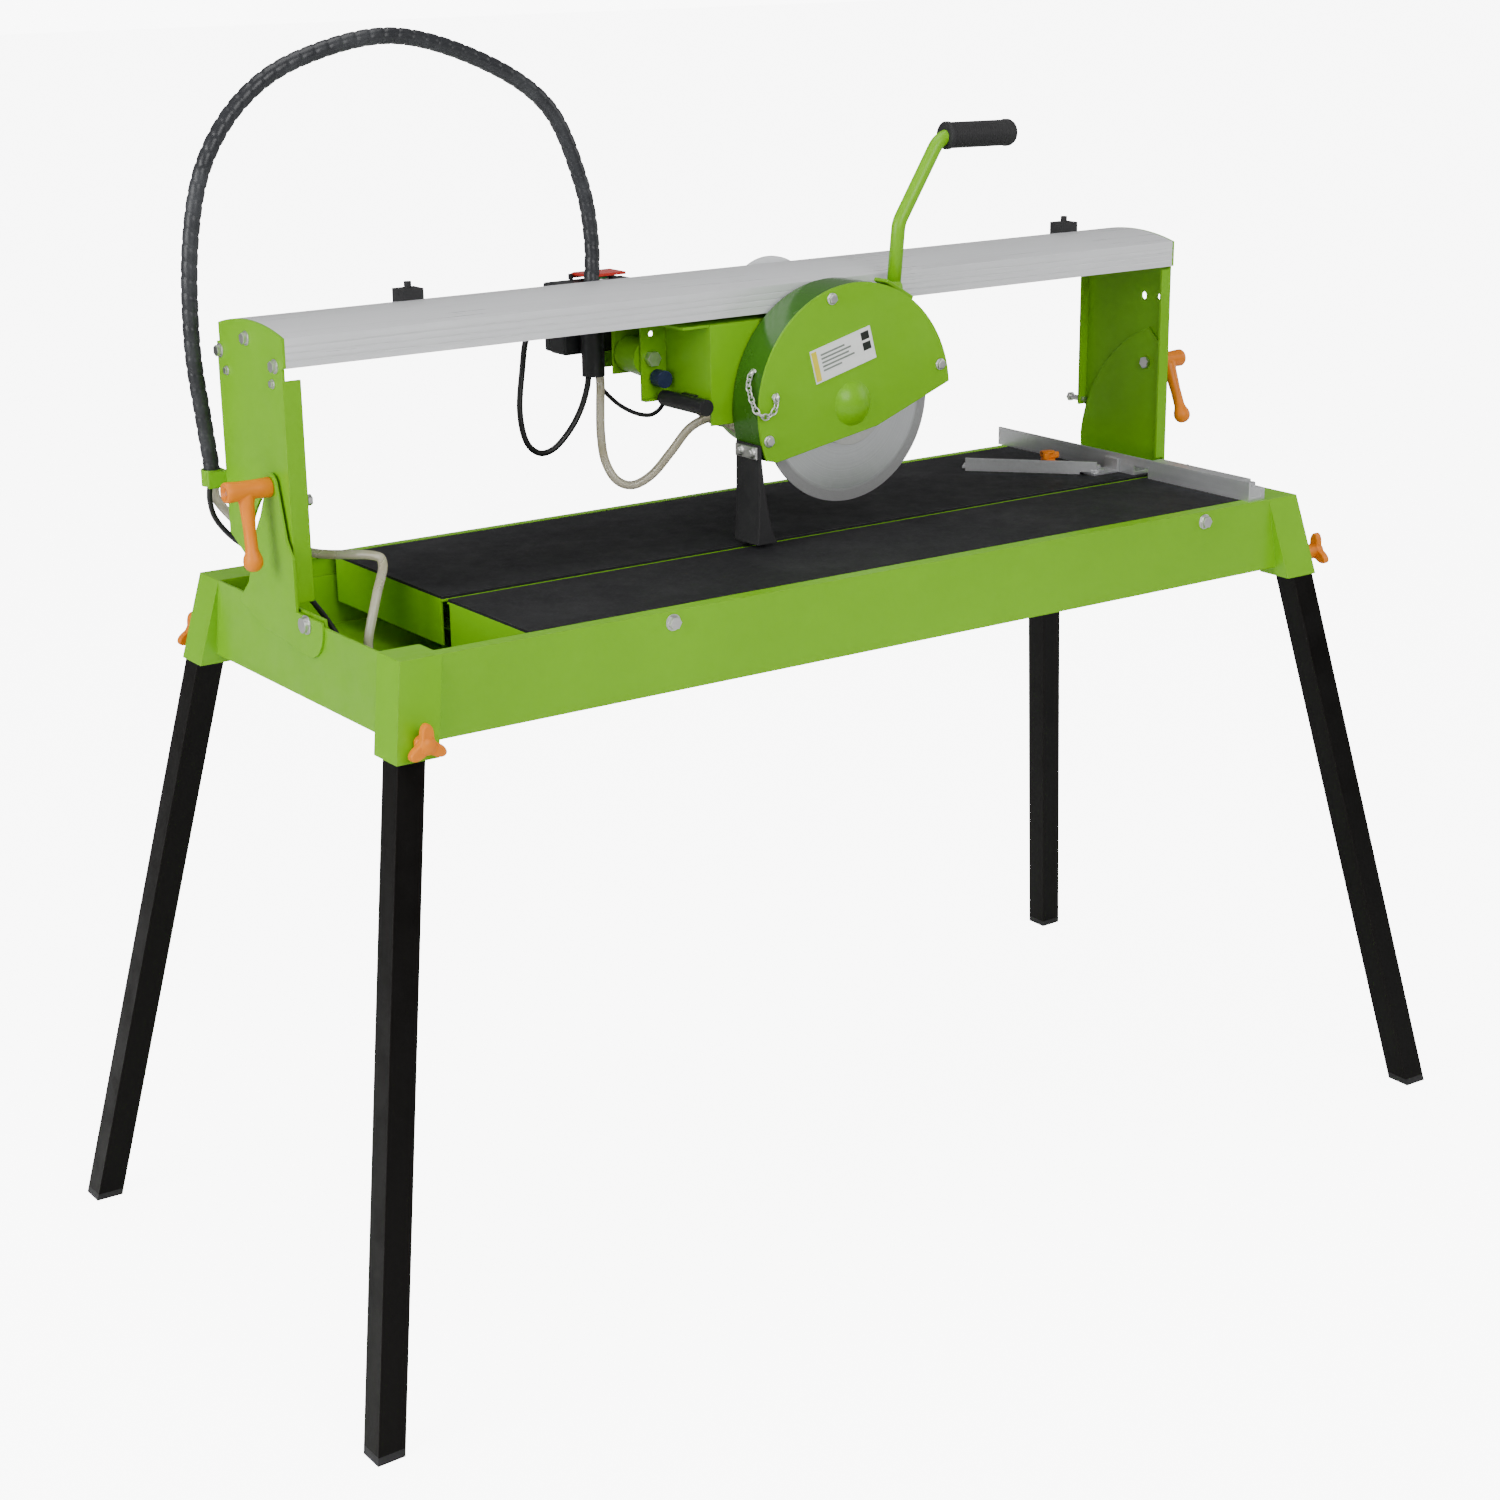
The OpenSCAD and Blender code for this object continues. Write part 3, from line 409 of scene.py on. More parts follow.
# %% Drawn lines
# Extruded, rolled and ground metal carries fine lines along one direction. Noise is stretched along that
# direction by shrinking the coordinate that runs along it.
drawn_lines, start, end = make_group(
    "drawn_lines",
    [("Stretch", "NodeSocketVector", (1.0, 1.0, 1.0)), ("Scale", "NodeSocketFloat", 300.0)],
    [("Lines", "NodeSocketFloat"), ("Clouds", "NodeSocketFloat")])
place = add(drawn_lines, "ShaderNodeTexCoord")
stretched = add(drawn_lines, "ShaderNodeVectorMath", operation="MULTIPLY")
link(drawn_lines, place.outputs["Object"], stretched.inputs[0])
link(drawn_lines, start.outputs["Stretch"], stretched.inputs[1])
link(drawn_lines, noise_value(drawn_lines, stretched.outputs["Vector"], start.outputs["Scale"], 5.0, 0.7),
     end.inputs["Lines"])
link(drawn_lines, noise_value(drawn_lines, place.outputs["Object"], 9.0, 3.0), end.inputs["Clouds"])
print("group:", drawn_lines.name)

# %% Moulded grain
# Plastic and rubber take a fine texture from their mould, and dull patches from hands.
moulded_grain, start, end = make_group(
    "moulded_grain",
    [("Grain Scale", "NodeSocketFloat", 900.0), ("Dull", "NodeSocketFloat", 0.5)],
    [("Height", "NodeSocketFloat"), ("Roughness", "NodeSocketFloat"), ("Wear", "NodeSocketFloat")])
place = add(moulded_grain, "ShaderNodeTexCoord")
link(moulded_grain, noise_value(moulded_grain, place.outputs["Object"], start.outputs["Grain Scale"], 2.0),
     end.inputs["Height"])
handled = noise_value(moulded_grain, place.outputs["Object"], 30.0, 4.0)
spread = remap(moulded_grain, handled, 0.3, 0.7, -0.08, 0.08)
link(moulded_grain, maths(moulded_grain, "ADD", spread, start.outputs["Dull"]), end.inputs["Roughness"])
link(moulded_grain, remap(moulded_grain, handled, 0.45, 0.75, 0.0, 1.0), end.inputs["Wear"])
print("group:", moulded_grain.name)

# %% Settled dust
# Grey tile dust settles on faces that look up, in uneven patches.
settled_dust, start, end = make_group(
    "settled_dust", [("Amount", "NodeSocketFloat", 0.3)], [("Mask", "NodeSocketFloat")])
geometry = add(settled_dust, "ShaderNodeNewGeometry")
parts = add(settled_dust, "ShaderNodeSeparateXYZ")
link(settled_dust, geometry.outputs["Normal"], parts.inputs["Vector"])
upward = remap(settled_dust, parts.outputs["Z"], 0.6, 0.95, 0.0, 1.0)
place = add(settled_dust, "ShaderNodeTexCoord")
cloud = remap(settled_dust, noise_value(settled_dust, place.outputs["Object"], 14.0, 5.0, 0.65),
              0.45, 0.75, 0.0, 1.0)
dusty = maths(settled_dust, "MULTIPLY", upward, cloud)
link(settled_dust, maths(settled_dust, "MULTIPLY", dusty, start.outputs["Amount"]), end.inputs["Mask"])
print("group:", settled_dust.name)

# %% [markdown]
# ## Finishes
# Each finish is a material with one Principled shader. The helper below makes the empty material; the
# cells after it connect the shared effects with values for that finish.

# %% Finish helpers
def new_finish(name, **values):
    material = bpy.data.materials.new(name)
    material.use_nodes = True
    tree = material.node_tree
    shader = tree.nodes["Principled BSDF"]
    for key, value in values.items():
        shader.inputs[key.replace("_", " ")].default_value = value
    return material, tree, shader


def place_group(tree, group, **values):
    node = tree.nodes.new("ShaderNodeGroup")
    node.node_tree = group
    for key, value in values.items():
        node.inputs[key.replace("_", " ")].default_value = value
    return node


def mixed(tree, mask, a, b):
    """Colour a where the mask is 0 and colour b where it is 1."""
    node = add(tree, "ShaderNodeMix", data_type="RGBA")
    link(tree, mask, node.inputs["Factor"])
    for socket, value in ((node.inputs["A"], a), (node.inputs["B"], b)):
        if isinstance(value, tuple):
            socket.default_value = value
        else:
            link(tree, value, socket)
    return node.outputs["Result"]


def bump(tree, shader, height, strength, distance, normal=None):
    node = add(tree, "ShaderNodeBump", Strength=strength, Distance=distance)
    link(tree, height, node.inputs["Height"])
    if normal is not None:
        link(tree, normal, node.inputs["Normal"])
    link(tree, node.outputs["Normal"], shader.inputs["Normal"])


# %% [markdown]
# ### Painted steel
# The machine's sheet steel is powder coated in a bright lime green, and its legs in black. Paint is a
# coloured base under a clear skin, so it gets a coat. Edges show a paler line: partly wear, partly a painted
# highlight.

# %% Painted steel
def painted(name, colour, wear_and_highlight, low, high, wear, dust, coat=0.10, shine=0.22):
    material, tree, shader = new_finish(name, Coat_Weight=coat, Coat_Roughness=0.2, Specular_IOR_Level=shine)
    skin = place_group(tree, orange_peel, Colour=colour, Gloss_Low=low, Gloss_High=high)
    edges = place_group(tree, worn_and_highlit_edges, Width=0.0013, Patchiness=0.6)
    settled = place_group(tree, settled_dust, Amount=dust)
    # The paler colour along the edges is partly wear and partly a painted highlight; wear sets how much.
    rubbed_and_highlit = maths(tree, "MULTIPLY", edges.outputs["Mask"], wear)
    paint = mixed(tree, rubbed_and_highlit, skin.outputs["Colour"], wear_and_highlight)
    link(tree, mixed(tree, settled.outputs["Mask"], paint, (0.36, 0.35, 0.31, 1)), shader.inputs["Base Color"])
    rough = maths(tree, "ADD", skin.outputs["Roughness"], maths(tree, "MULTIPLY", settled.outputs["Mask"], 0.5))
    link(tree, rough, shader.inputs["Roughness"])
    bump(tree, shader, skin.outputs["Height"], 0.08, 0.0004, edges.outputs["Soft Normal"])
    return material


GREEN = (0.158, 0.420, 0.0, 1)
green_paint = painted("green_paint", GREEN, (0.34, 0.60, 0.06, 1), 0.30, 0.46, 0.35, 0.0)
# A much darker copy of the green paint for the guard's back rim: painted shade.
guard_rim_shaded_paint = painted("guard_rim_shaded_paint", (0.030, 0.110, 0.008, 1), (0.20, 0.36, 0.06, 1),
                          0.16, 0.28, 0.5, 0.0)
black_paint = painted("black_paint", (0.0022, 0.0016, 0.0012, 1), (0.04, 0.034, 0.030, 1), 0.30, 0.46, 0.4, 0.0,
                      coat=0.02, shine=0.10)
print("painted finishes ready")

# %% [markdown]
# ### Plastics and rubber
# Clamp knobs and levers are glossy orange; housings are matte black. Rubber is darker and duller still.

# %% Plastics and rubber
def moulded(name, colour, wear_and_highlight, dull, grain=900.0, depth=0.10, wear=0.3, edge=0.4, coat=0.0):
    material, tree, shader = new_finish(name, Coat_Weight=coat, Coat_Roughness=0.2, Specular_IOR_Level=0.3)
    skin = place_group(tree, moulded_grain, Grain_Scale=grain, Dull=dull)
    edges = place_group(tree, worn_and_highlit_edges, Width=0.0008, Patchiness=0.5)
    base = mixed(tree, maths(tree, "MULTIPLY", skin.outputs["Wear"], wear), colour, wear_and_highlight)
    # Along the edges the worn colour is laid on: partly wear, and where it is paler than the base, a painted
    # highlight.
    link(tree, mixed(tree, maths(tree, "MULTIPLY", edges.outputs["Mask"], edge), base, wear_and_highlight),
         shader.inputs["Base Color"])
    link(tree, skin.outputs["Roughness"], shader.inputs["Roughness"])
    bump(tree, shader, skin.outputs["Height"], depth, 0.0004, edges.outputs["Soft Normal"])
    return material


orange_plastic = moulded("orange_plastic", (0.72, 0.185, 0.0, 1), (0.85, 0.27, 0.0, 1), 0.42,
                         wear=0.2, edge=0.2)
black_plastic = moulded("black_plastic", (0.012, 0.012, 0.013, 1), (0.05, 0.05, 0.052, 1), 0.46)
blue_plastic = moulded("blue_plastic", (0.012, 0.018, 0.060, 1), (0.05, 0.07, 0.16, 1), 0.42)
red_plastic = moulded("red_plastic", (0.52, 0.018, 0.012, 1), (0.75, 0.10, 0.06, 1), 0.32, coat=0.3)
start_plastic = moulded("start_plastic", (0.02, 0.26, 0.05, 1), (0.10, 0.45, 0.12, 1), 0.32, coat=0.3)
soft_rubber = moulded("soft_rubber", (0.016, 0.016, 0.017, 1), (0.05, 0.05, 0.05, 1), 0.66, 500.0, 0.25)
cable_sheath = moulded("cable_sheath", (0.013, 0.013, 0.013, 1), (0.04, 0.04, 0.04, 1), 0.40, 700.0, 0.12)
# The wrap's turns take the paler edge colour strongly: a painted highlight along them, with some wear.
sleeve_wrap = moulded("sleeve_wrap", (0.022, 0.023, 0.026, 1), (0.16, 0.17, 0.18, 1), 0.34, 700.0, 0.12,
                      wear=0.15, edge=0.9)
print("moulded finishes ready")

# %% [markdown]
# ### The table's rubber mats
# Each mat is a thin sheet with fine ribs that run along the table, grey with tile dust. The ribs are a
# wave across the mat's depth, so they are in the bump; the dust is the shared group.

# %% Mat rubber
mat_rubber, tree, shader = new_finish("mat_rubber", Specular_IOR_Level=0.2)
place = add(tree, "ShaderNodeTexCoord")
ribs = add(tree, "ShaderNodeTexWave", wave_type="BANDS", bands_direction="Y", Scale=105.0, Distortion=0.0)
link(tree, place.outputs["Object"], ribs.inputs["Vector"])
skin = place_group(tree, moulded_grain, Grain_Scale=420.0, Dull=0.66)
settled = place_group(tree, settled_dust, Amount=0.25)
edges = place_group(tree, worn_and_highlit_edges, Width=0.0008, Patchiness=0.7)
speckle = remap(tree, noise_value(tree, place.outputs["Object"], 260.0, 4.0, 0.7), 0.45, 0.75, 0.0, 0.55)
rubber = mixed(tree, speckle, (0.0085, 0.0085, 0.0098, 1), (0.026, 0.026, 0.030, 1))
# Lighter grey along the mat's edges: partly wear, partly a painted highlight.
rubber = mixed(tree, edges.outputs["Mask"], rubber, (0.075, 0.075, 0.08, 1))
link(tree, mixed(tree, settled.outputs["Mask"], rubber, (0.045, 0.045, 0.047, 1)), shader.inputs["Base Color"])
link(tree, skin.outputs["Roughness"], shader.inputs["Roughness"])
height = maths(tree, "ADD", ribs.outputs["Fac"], maths(tree, "MULTIPLY", skin.outputs["Height"], 0.8))
bump(tree, shader, height, 0.35, 0.0006, edges.outputs["Soft Normal"])
print("mat finish ready")

# %% [markdown]
# ### Metals
# The rail and fence are anodised aluminium with lines along their length. Screws are zinc plated. The
# blade is a ground disc, so its lines are rings round its own centre.

# %% Metals
def metal(name, colour, stretch, scale, low, high, depth=0.05, wear=0.2, metallic=1.0):
    material, tree, shader = new_finish(name, Metallic=metallic)
    lines = place_group(tree, drawn_lines, Stretch=stretch, Scale=scale)
    edges = place_group(tree, worn_and_highlit_edges, Width=0.0008, Patchiness=0.3)
    dark = tuple(c * 0.80 for c in colour[:3]) + (1,)
    base = mixed(tree, lines.outputs["Lines"], dark, colour)
    # Edges get a brighter colour: partly wear, partly a painted highlight.
    bright = tuple(min(c * 1.25, 1.0) for c in colour[:3]) + (1,)
    link(tree, mixed(tree, maths(tree, "MULTIPLY", edges.outputs["Mask"], wear), base, bright),
         shader.inputs["Base Color"])
    blend_lines = maths(tree, "ADD", maths(tree, "MULTIPLY", lines.outputs["Lines"], 0.6),
                        maths(tree, "MULTIPLY", lines.outputs["Clouds"], 0.4))
    link(tree, remap(tree, blend_lines, 0.3, 0.7, low, high), shader.inputs["Roughness"])
    bump(tree, shader, lines.outputs["Lines"], depth, 0.0004, edges.outputs["Soft Normal"])
    return material


rail_aluminium = metal("rail_aluminium", (0.97, 0.98, 1.0, 1), (0.01, 1.0, 1.0), 420.0, 0.24, 0.40, 0.12,
                       metallic=0.45)
fence_aluminium = metal("fence_aluminium", (0.66, 0.67, 0.68, 1), (1.0, 0.02, 1.0), 420.0, 0.30, 0.46, 0.12,
                        metallic=0.8)
zinc_plate = metal("zinc_plate", (0.70, 0.70, 0.68, 1), (1.0, 1.0, 1.0), 260.0, 0.25, 0.45)
motor_paint = metal("motor_paint", (0.24, 0.25, 0.26, 1), (1.0, 1.0, 1.0), 500.0, 0.42, 0.60, 0.2, 0.4, 0.35)
print("metal finishes ready")

# %% Ground blade steel
# The distance from the blade's centre makes the rings: noise is looked up by that distance alone.
spindle_low, spindle_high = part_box("spindle")
blade_centre = (spindle_low + spindle_high) / 2
blade_steel, tree, shader = new_finish("blade_steel", Metallic=1.0)
place = add(tree, "ShaderNodeTexCoord")
away = add(tree, "ShaderNodeVectorMath", operation="DISTANCE")
link(tree, place.outputs["Object"], away.inputs[0])
away.inputs[1].default_value = blade_centre
rings = add(tree, "ShaderNodeTexNoise", noise_dimensions="1D", Scale=900.0, Detail=4.0)
link(tree, away.outputs["Value"], rings.inputs["W"])
wide = remap(tree, away.outputs["Value"], 0.100, 0.104, 0.0, 1.0)
ground = mixed(tree, rings.outputs["Fac"], (0.56, 0.57, 0.59, 1), (0.78, 0.79, 0.81, 1))
grit = noise_value(tree, place.outputs["Object"], 1400.0, 2.0)
rim = mixed(tree, grit, (0.26, 0.26, 0.27, 1), (0.52, 0.52, 0.52, 1))
link(tree, mixed(tree, wide, ground, rim), shader.inputs["Base Color"])
link(tree, remap(tree, wide, 0.0, 1.0, 0.34, 0.55), shader.inputs["Roughness"])
bump(tree, shader, maths(tree, "ADD", rings.outputs["Fac"], maths(tree, "MULTIPLY", wide, grit)), 0.10, 0.0003)
print("blade centre", [round(c, 3) for c in blade_centre])

# %% [markdown]
# ### Clear hose and printed plate
# The water hoses are soft clear tube, a little yellow with age. The plate on the guard is white with grey
# bars where a real one has small print, and none of it can be read.

# %% Clear hose and plate finishes
clear_hose, tree, shader = new_finish(
    "clear_hose", Transmission_Weight=0.55, IOR=1.38, Coat_Weight=0.3, Coat_Roughness=0.1)
skin = place_group(tree, moulded_grain, Grain_Scale=160.0, Dull=0.24)
link(tree, mixed(tree, skin.outputs["Wear"], (0.76, 0.71, 0.56, 1), (0.60, 0.54, 0.36, 1)),
     shader.inputs["Base Color"])
link(tree, skin.outputs["Roughness"], shader.inputs["Roughness"])
bump(tree, shader, skin.outputs["Height"], 0.05, 0.0005)
plate_white = moulded("plate_white", (0.80, 0.81, 0.79, 1), (0.62, 0.63, 0.60, 1), 0.32, wear=0.15, edge=0.1)
plate_grey = moulded("plate_grey", (0.20, 0.23, 0.20, 1), (0.30, 0.32, 0.30, 1), 0.40)
plate_black = moulded("plate_black", (0.015, 0.02, 0.016, 1), (0.06, 0.06, 0.06, 1), 0.40)
plate_yellow = moulded("plate_yellow", (0.72, 0.60, 0.02, 1), (0.80, 0.70, 0.20, 1), 0.36)
print("hose and plate finishes ready")

# %% [markdown]
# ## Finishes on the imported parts
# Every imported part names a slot, and every slot has one finish. A few parts differ from their slot.

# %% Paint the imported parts
FINISH = {
    "green_paint": green_paint, "black_paint": black_paint, "black_plastic": black_plastic,
    "mat_rubber": soft_rubber, "orange_plastic": orange_plastic, "bright_steel": zinc_plate,
    "blade_steel": blade_steel, "rail_aluminium": rail_aluminium, "motor_grey": motor_paint,
    "hose_sleeve": sleeve_wrap, "cable_black": cable_sheath, "clear_hose": clear_hose,
    "red_plastic": red_plastic, "green_plastic": start_plastic, "blue_plastic": blue_plastic,
    "white_plate": plate_white,
}
for name, node in frame["nodes"].items():
    finish = mat_rubber if name.startswith("mat_") else FINISH[slot_of[name]]
    # The guard's back takes the darker copy of the green, which is painted shade.
    if name == "guard_back":
        finish = guard_rim_shaded_paint
    elif name in ("fence", "mitre_guide", "guide_shoe"):
        finish = fence_aluminium
    node.data.materials.clear()
    node.data.materials.append(finish)
print("painted", len(frame["nodes"]), "parts")


def dress(piece, finish, body, slot, *nodes):
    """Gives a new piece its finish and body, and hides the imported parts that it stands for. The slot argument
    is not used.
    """
    piece.data.materials.clear()
    piece.data.materials.append(finish)
    if nodes:
        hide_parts(*nodes)
    if body:
        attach(piece, body)
    return piece


# %% [markdown]
# ## The hose bundle
# Power cable and water hose run together inside a spiral-cut plastic wrap. The wrap is a ribbon wound
# round the bundle, so the tube gets a helical groove: its radius drops in a narrow band that turns as it
# goes along. It is stiff, and arches over on its own between the left end and the trolley.

# %% Hose bundle
WRAP_PITCH = 0.016
WRAP_GROOVE = 0.0010
RIBBON_SHARE = 0.72


def wrap_relief(along, angle):
    """Height of the wound ribbon over the bundle: flat, with a groove between turns."""
    phase = (along / WRAP_PITCH + angle / math.tau) % 1.0
    across = abs(phase - 0.5) * 2.0
    if across <= RIBBON_SHARE:
        return 0.0
    return -WRAP_GROOVE * ((across - RIBBON_SHARE) / (1.0 - RIBBON_SHARE)) ** 0.5


bundle_route = even_route(smooth_route(millimetres(ROUTES["hose_bundle"]), 24), 0.0020)
bundle = tube("hose_bundle_wrap", bundle_route, 0.0087, 28, wrap_relief)
dress(bundle, sleeve_wrap, None, "hose_sleeve", "hose_bundle")
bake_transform(bundle)
print("hose bundle", round(route_length(bundle_route), 3), "m")

# %% [markdown]
# ## The other hoses and cables
# The two clear hoses carry water: from the pump up to the bundle, and from the trolley to the guard. The
# black cables join the bundle to the switch box, the capacitor and the pump.

# %% Hoses and cables
def hose(name, node, finish, slot, radius, between):
    route = smooth_route(millimetres(ROUTES[node]), 10)
    piece = tube(name, route, radius, 18)
    dress(piece, finish, between[0] if len(between) == 1 else None, slot, node)
    if len(between) == 2:
        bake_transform(piece)
    print(name, round(route_length(route), 3), "m")
    return piece


hose("switch_cable", "cable_loop", cable_sheath, "cable_black", 0.0035, ["carriage"])
hose("motor_cable", "capacitor_cable", cable_sheath, "cable_black", 0.0025, ["carriage"])
hose("guard_water_hose", "water_hose", clear_hose, "clear_hose", 0.005,
     ["carriage", "head"])
hose("pump_water_hose", "pump_hose", clear_hose, "clear_hose", 0.005,
     ["base", "bridge"])
hose("pump_power_cable", "pump_cable", cable_sheath, "cable_black", 0.003,
     ["bridge", "base"])

# %% [markdown]
# ## Clamp knobs
# A clamp knob has three blunt wings round a hub, so wet hands can turn it. The outline is drawn from a
# hub circle and three lobes, then softened, and a screw end shows in the middle.

# %% Clamp knobs
def wing_outline(reach, waist, points=72):
    """A three-winged outline: the radius swells three times round the hub."""
    outline = []
    for k in range(points):
        angle = math.tau * k / points
        swell = (0.5 + 0.5 * math.cos(3 * (angle - math.pi / 2))) ** 1.7
        r = waist + (reach - waist) * swell
        outline.append((r * math.cos(angle), r * math.sin(angle)))
    return outline


def clamp_knob(node, body, centre, out, reach=0.022, boss=0.024, thick=0.009):
    """A winged knob whose hub starts at centre and stands along out."""
    out = Vector(out)
    up = Vector((0, 0, 1)) if abs(out.z) < 0.5 else Vector((0, 1, 0))
    side = up.cross(out).normalized()
    turn = Matrix((side, up, out)).transposed().to_4x4()
    place = Matrix.Translation(centre) @ turn
    wings = plate("wings", wing_outline(reach, reach * 0.42), thick, place @ Matrix.Translation((0, 0, boss)),
                  0.0022, True)
    hub = turned("hub", [(0.0, 0.0070), (0.0006, 0.0076), (boss, 0.0092)], centre, out, 40)
    cap = turned("cap", [(boss + thick - 0.001, 0.0088), (boss + thick + 0.0012, 0.0080),
                         (boss + thick + 0.0018, 0.0)], centre, out, 40)
    knob = joined(node.replace("knob", "clamp") + "_wings", [wings, hub, cap])
    dress(knob, orange_plastic, body, "orange_plastic", node)
    stud = turned(node + "_stud", [(-0.0034, 0.0038), (0.0004, 0.0038)], centre, out, 24)
    dress(stud, zinc_plate, body, "bright_steel")
    return knob


LEG_KNOBS = [
    ("knob_front_left", "clamp_front_left", (-0.597, -0.244, 0.676), (0, -1, 0), 0.009),
    ("knob_front_right", "clamp_front_right", (0.623, -0.218, 0.676), (1, 0, 0), 0.024),
    ("knob_rear_left", "clamp_rear_left", (-0.597, 0.244, 0.676), (0, 1, 0), 0.024),
    ("knob_rear_right", "clamp_rear_right", (0.597, 0.244, 0.676), (0, 1, 0), 0.024),
]
for node, body, centre, out, boss in LEG_KNOBS:
    clamp_knob(node, body, centre, out, boss=boss)
GUIDE_PIVOT, GUIDE_ANGLE = Vector((0.500, 0.014, 0.0)), math.radians(132.4)
guide_turn = Matrix.Rotation(GUIDE_ANGLE, 3, "Z")
guide_stud = GUIDE_PIVOT + guide_turn @ Vector((0.059, -0.002, 0.0))
clamp_knob("guide_knob", "guide_clamp", (guide_stud.x, guide_stud.y, 0.7597), (0, 0, 1), 0.014, 0.0107, 0.008)
print("clamp knobs:", len(LEG_KNOBS) + 1)

# %% [markdown]
# ## Bevel levers
# Each end has a clamp lever: a long round hub on the bolt's axis, and an arm that hangs from it and ends in
# a ball. The hub flares at its outer end, where the bolt's head sits in a recess.

# %% Bevel levers
def bevel_lever(node, body, foot, out, lean):
    """foot is where the hub starts, out its direction along X, lean the arm's swing from hanging."""
    axis = Vector((out, 0, 0))
    hub = turned("hub", [(0.0, 0.0096), (0.0015, 0.0105), (0.014, 0.0098), (0.034, 0.0098), (0.044, 0.0106),
                         (0.0485, 0.0106), (0.0500, 0.0096), (0.0500, 0.0064), (0.0420, 0.0060), (0.0420, 0.0)],
                 foot, axis)
    swing = Matrix.Rotation(math.radians(lean), 3, "X")
    down = swing @ Vector((0, 0, -1))
    arm_top = Vector(foot) + axis * 0.027
    arm = turned("arm", [(0.0, 0.0080), (0.008, 0.0092), (0.014, 0.0078), (0.040, 0.0064), (0.060, 0.0066),
                         (0.0640, 0.0078), (0.0680, 0.0096), (0.0720, 0.0103), (0.0760, 0.0098),
                         (0.0800, 0.0074), (0.0822, 0.0040), (0.0828, 0.0)], arm_top, down)
    lever = joined(node.replace("bevel_lever", "lever") + "_handle", [hub, arm])
    dress(lever, orange_plastic, body, "orange_plastic", node)
    head = turned(node + "_bolt_head", [(0.0422, 0.0052), (0.0462, 0.0052), (0.0466, 0.0046), (0.0466, 0.0)],
                  foot, axis, 6, False)
    dress(head, zinc_plate, body, "bright_steel")
    return lever


LOCK_Y, LOCK_Z = 0.02915, 0.8801
bevel_lever("bevel_lever_left", "lock_left", (-0.6081, LOCK_Y, LOCK_Z), -1, -6)
bevel_lever("bevel_lever_right", "lock_right", (0.605, LOCK_Y, LOCK_Z), 1, -24)
for node, start_x, reach, nut_x in (("left", -0.6082, 0.0127, -0.5954), ("right", 0.5955, 0.0096, 0.5905)):
    shank = turned("shank", [(0, 0.00498), (reach, 0.00498)], (start_x, LOCK_Y, LOCK_Z), (1, 0, 0), 32)
    nut = turned("nut", [(0.0, 0.0072), (0.0005, 0.0078), (0.0045, 0.0078), (0.0050, 0.0072)],
                 (nut_x, LOCK_Y, LOCK_Z), (1, 0, 0), 6, False)
    bolt = joined(f"lever_{node}_bolt", [shank, nut])
    dress(bolt, zinc_plate, f"lock_{node}", "bright_steel")
print("levers ready")

# %% [markdown]
# ## The handle and its grip
# The handle is one bent steel tube, welded to a saddle on the guard. A tube bender leaves even curves, so
# the route is rounded at its two bends. The grip is turned rubber with a collar and a domed end.

# %% Handle
def bent_route(corners, bend):
    """Straight runs between corners, with each inner corner rounded to the bend's radius."""
    route = [corners[0]]
    for a, b, c in zip(corners, corners[1:], corners[2:]):
        before, after = (a - b).normalized(), (c - b).normalized()
        half = math.acos(max(-1.0, min(1.0, before.dot(after)))) / 2
        cut = bend / math.tan(half)
        p, q = b + before * cut, b + after * cut
        for k in range(13):
            t = k / 12
            route.append(p * (1 - t) ** 2 + b * 2 * t * (1 - t) + q * t * t)
    return route + [corners[-1]]


SLOT_Y = -0.036
handle_corners = [Vector((0.1395, SLOT_Y, 1.0175)), Vector((0.147, SLOT_Y, 1.092)),
                  Vector((0.206, SLOT_Y, 1.184)), Vector((0.298, SLOT_Y, 1.1824))]
handle_tube = tube("bent_tube", bent_route(handle_corners, 0.030), 0.008, 28)
saddle_place = Matrix.Translation((0.1390, SLOT_Y, 1.0176)) @ Matrix.Rotation(math.radians(31), 4, "Y")
saddle = plate("saddle", [(-0.022, -0.012), (0.022, -0.012), (0.022, 0.012), (-0.022, 0.012)], 0.0046,
               saddle_place, 0.0012)
collar = turned("weld", [(0.0, 0.0085), (0.0035, 0.0108), (0.0075, 0.0100), (0.0110, 0.0081)],
                (0.1396, SLOT_Y, 1.0165), (0.10, 0, 1), 28)
handle = joined("handle_tube", [handle_tube, saddle, collar])
dress(handle, green_paint, "head", "green_paint", "handle")

# %% Grip
grip_profile = [(0.0, 0.0086), (0.0, 0.0142), (0.0016, 0.0156), (0.0052, 0.0156), (0.0068, 0.0140)]
for k in range(22):
    at = 0.0085 + k * 0.0034
    grip_profile += [(at, 0.0140), (at + 0.0007, 0.0146), (at + 0.0022, 0.0146), (at + 0.0029, 0.0140)]
grip_profile += [(0.0860, 0.0144), (0.0880, 0.0154), (0.0930, 0.0152), (0.0965, 0.0134), (0.0990, 0.0100),
                 (0.1005, 0.0050), (0.1009, 0.0)]
grip_axis = Vector((math.cos(math.radians(1)), 0, -math.sin(math.radians(1))))
grip = turned("handle_grip", grip_profile, (0.212, SLOT_Y, 1.184), grip_axis, 48)
dress(grip, soft_rubber, "head", "mat_rubber", "grip")

# %% [markdown]
# ## The switch box
# A moulded housing with rounded corners, a lid seam, four lid screws and threaded cable nuts.

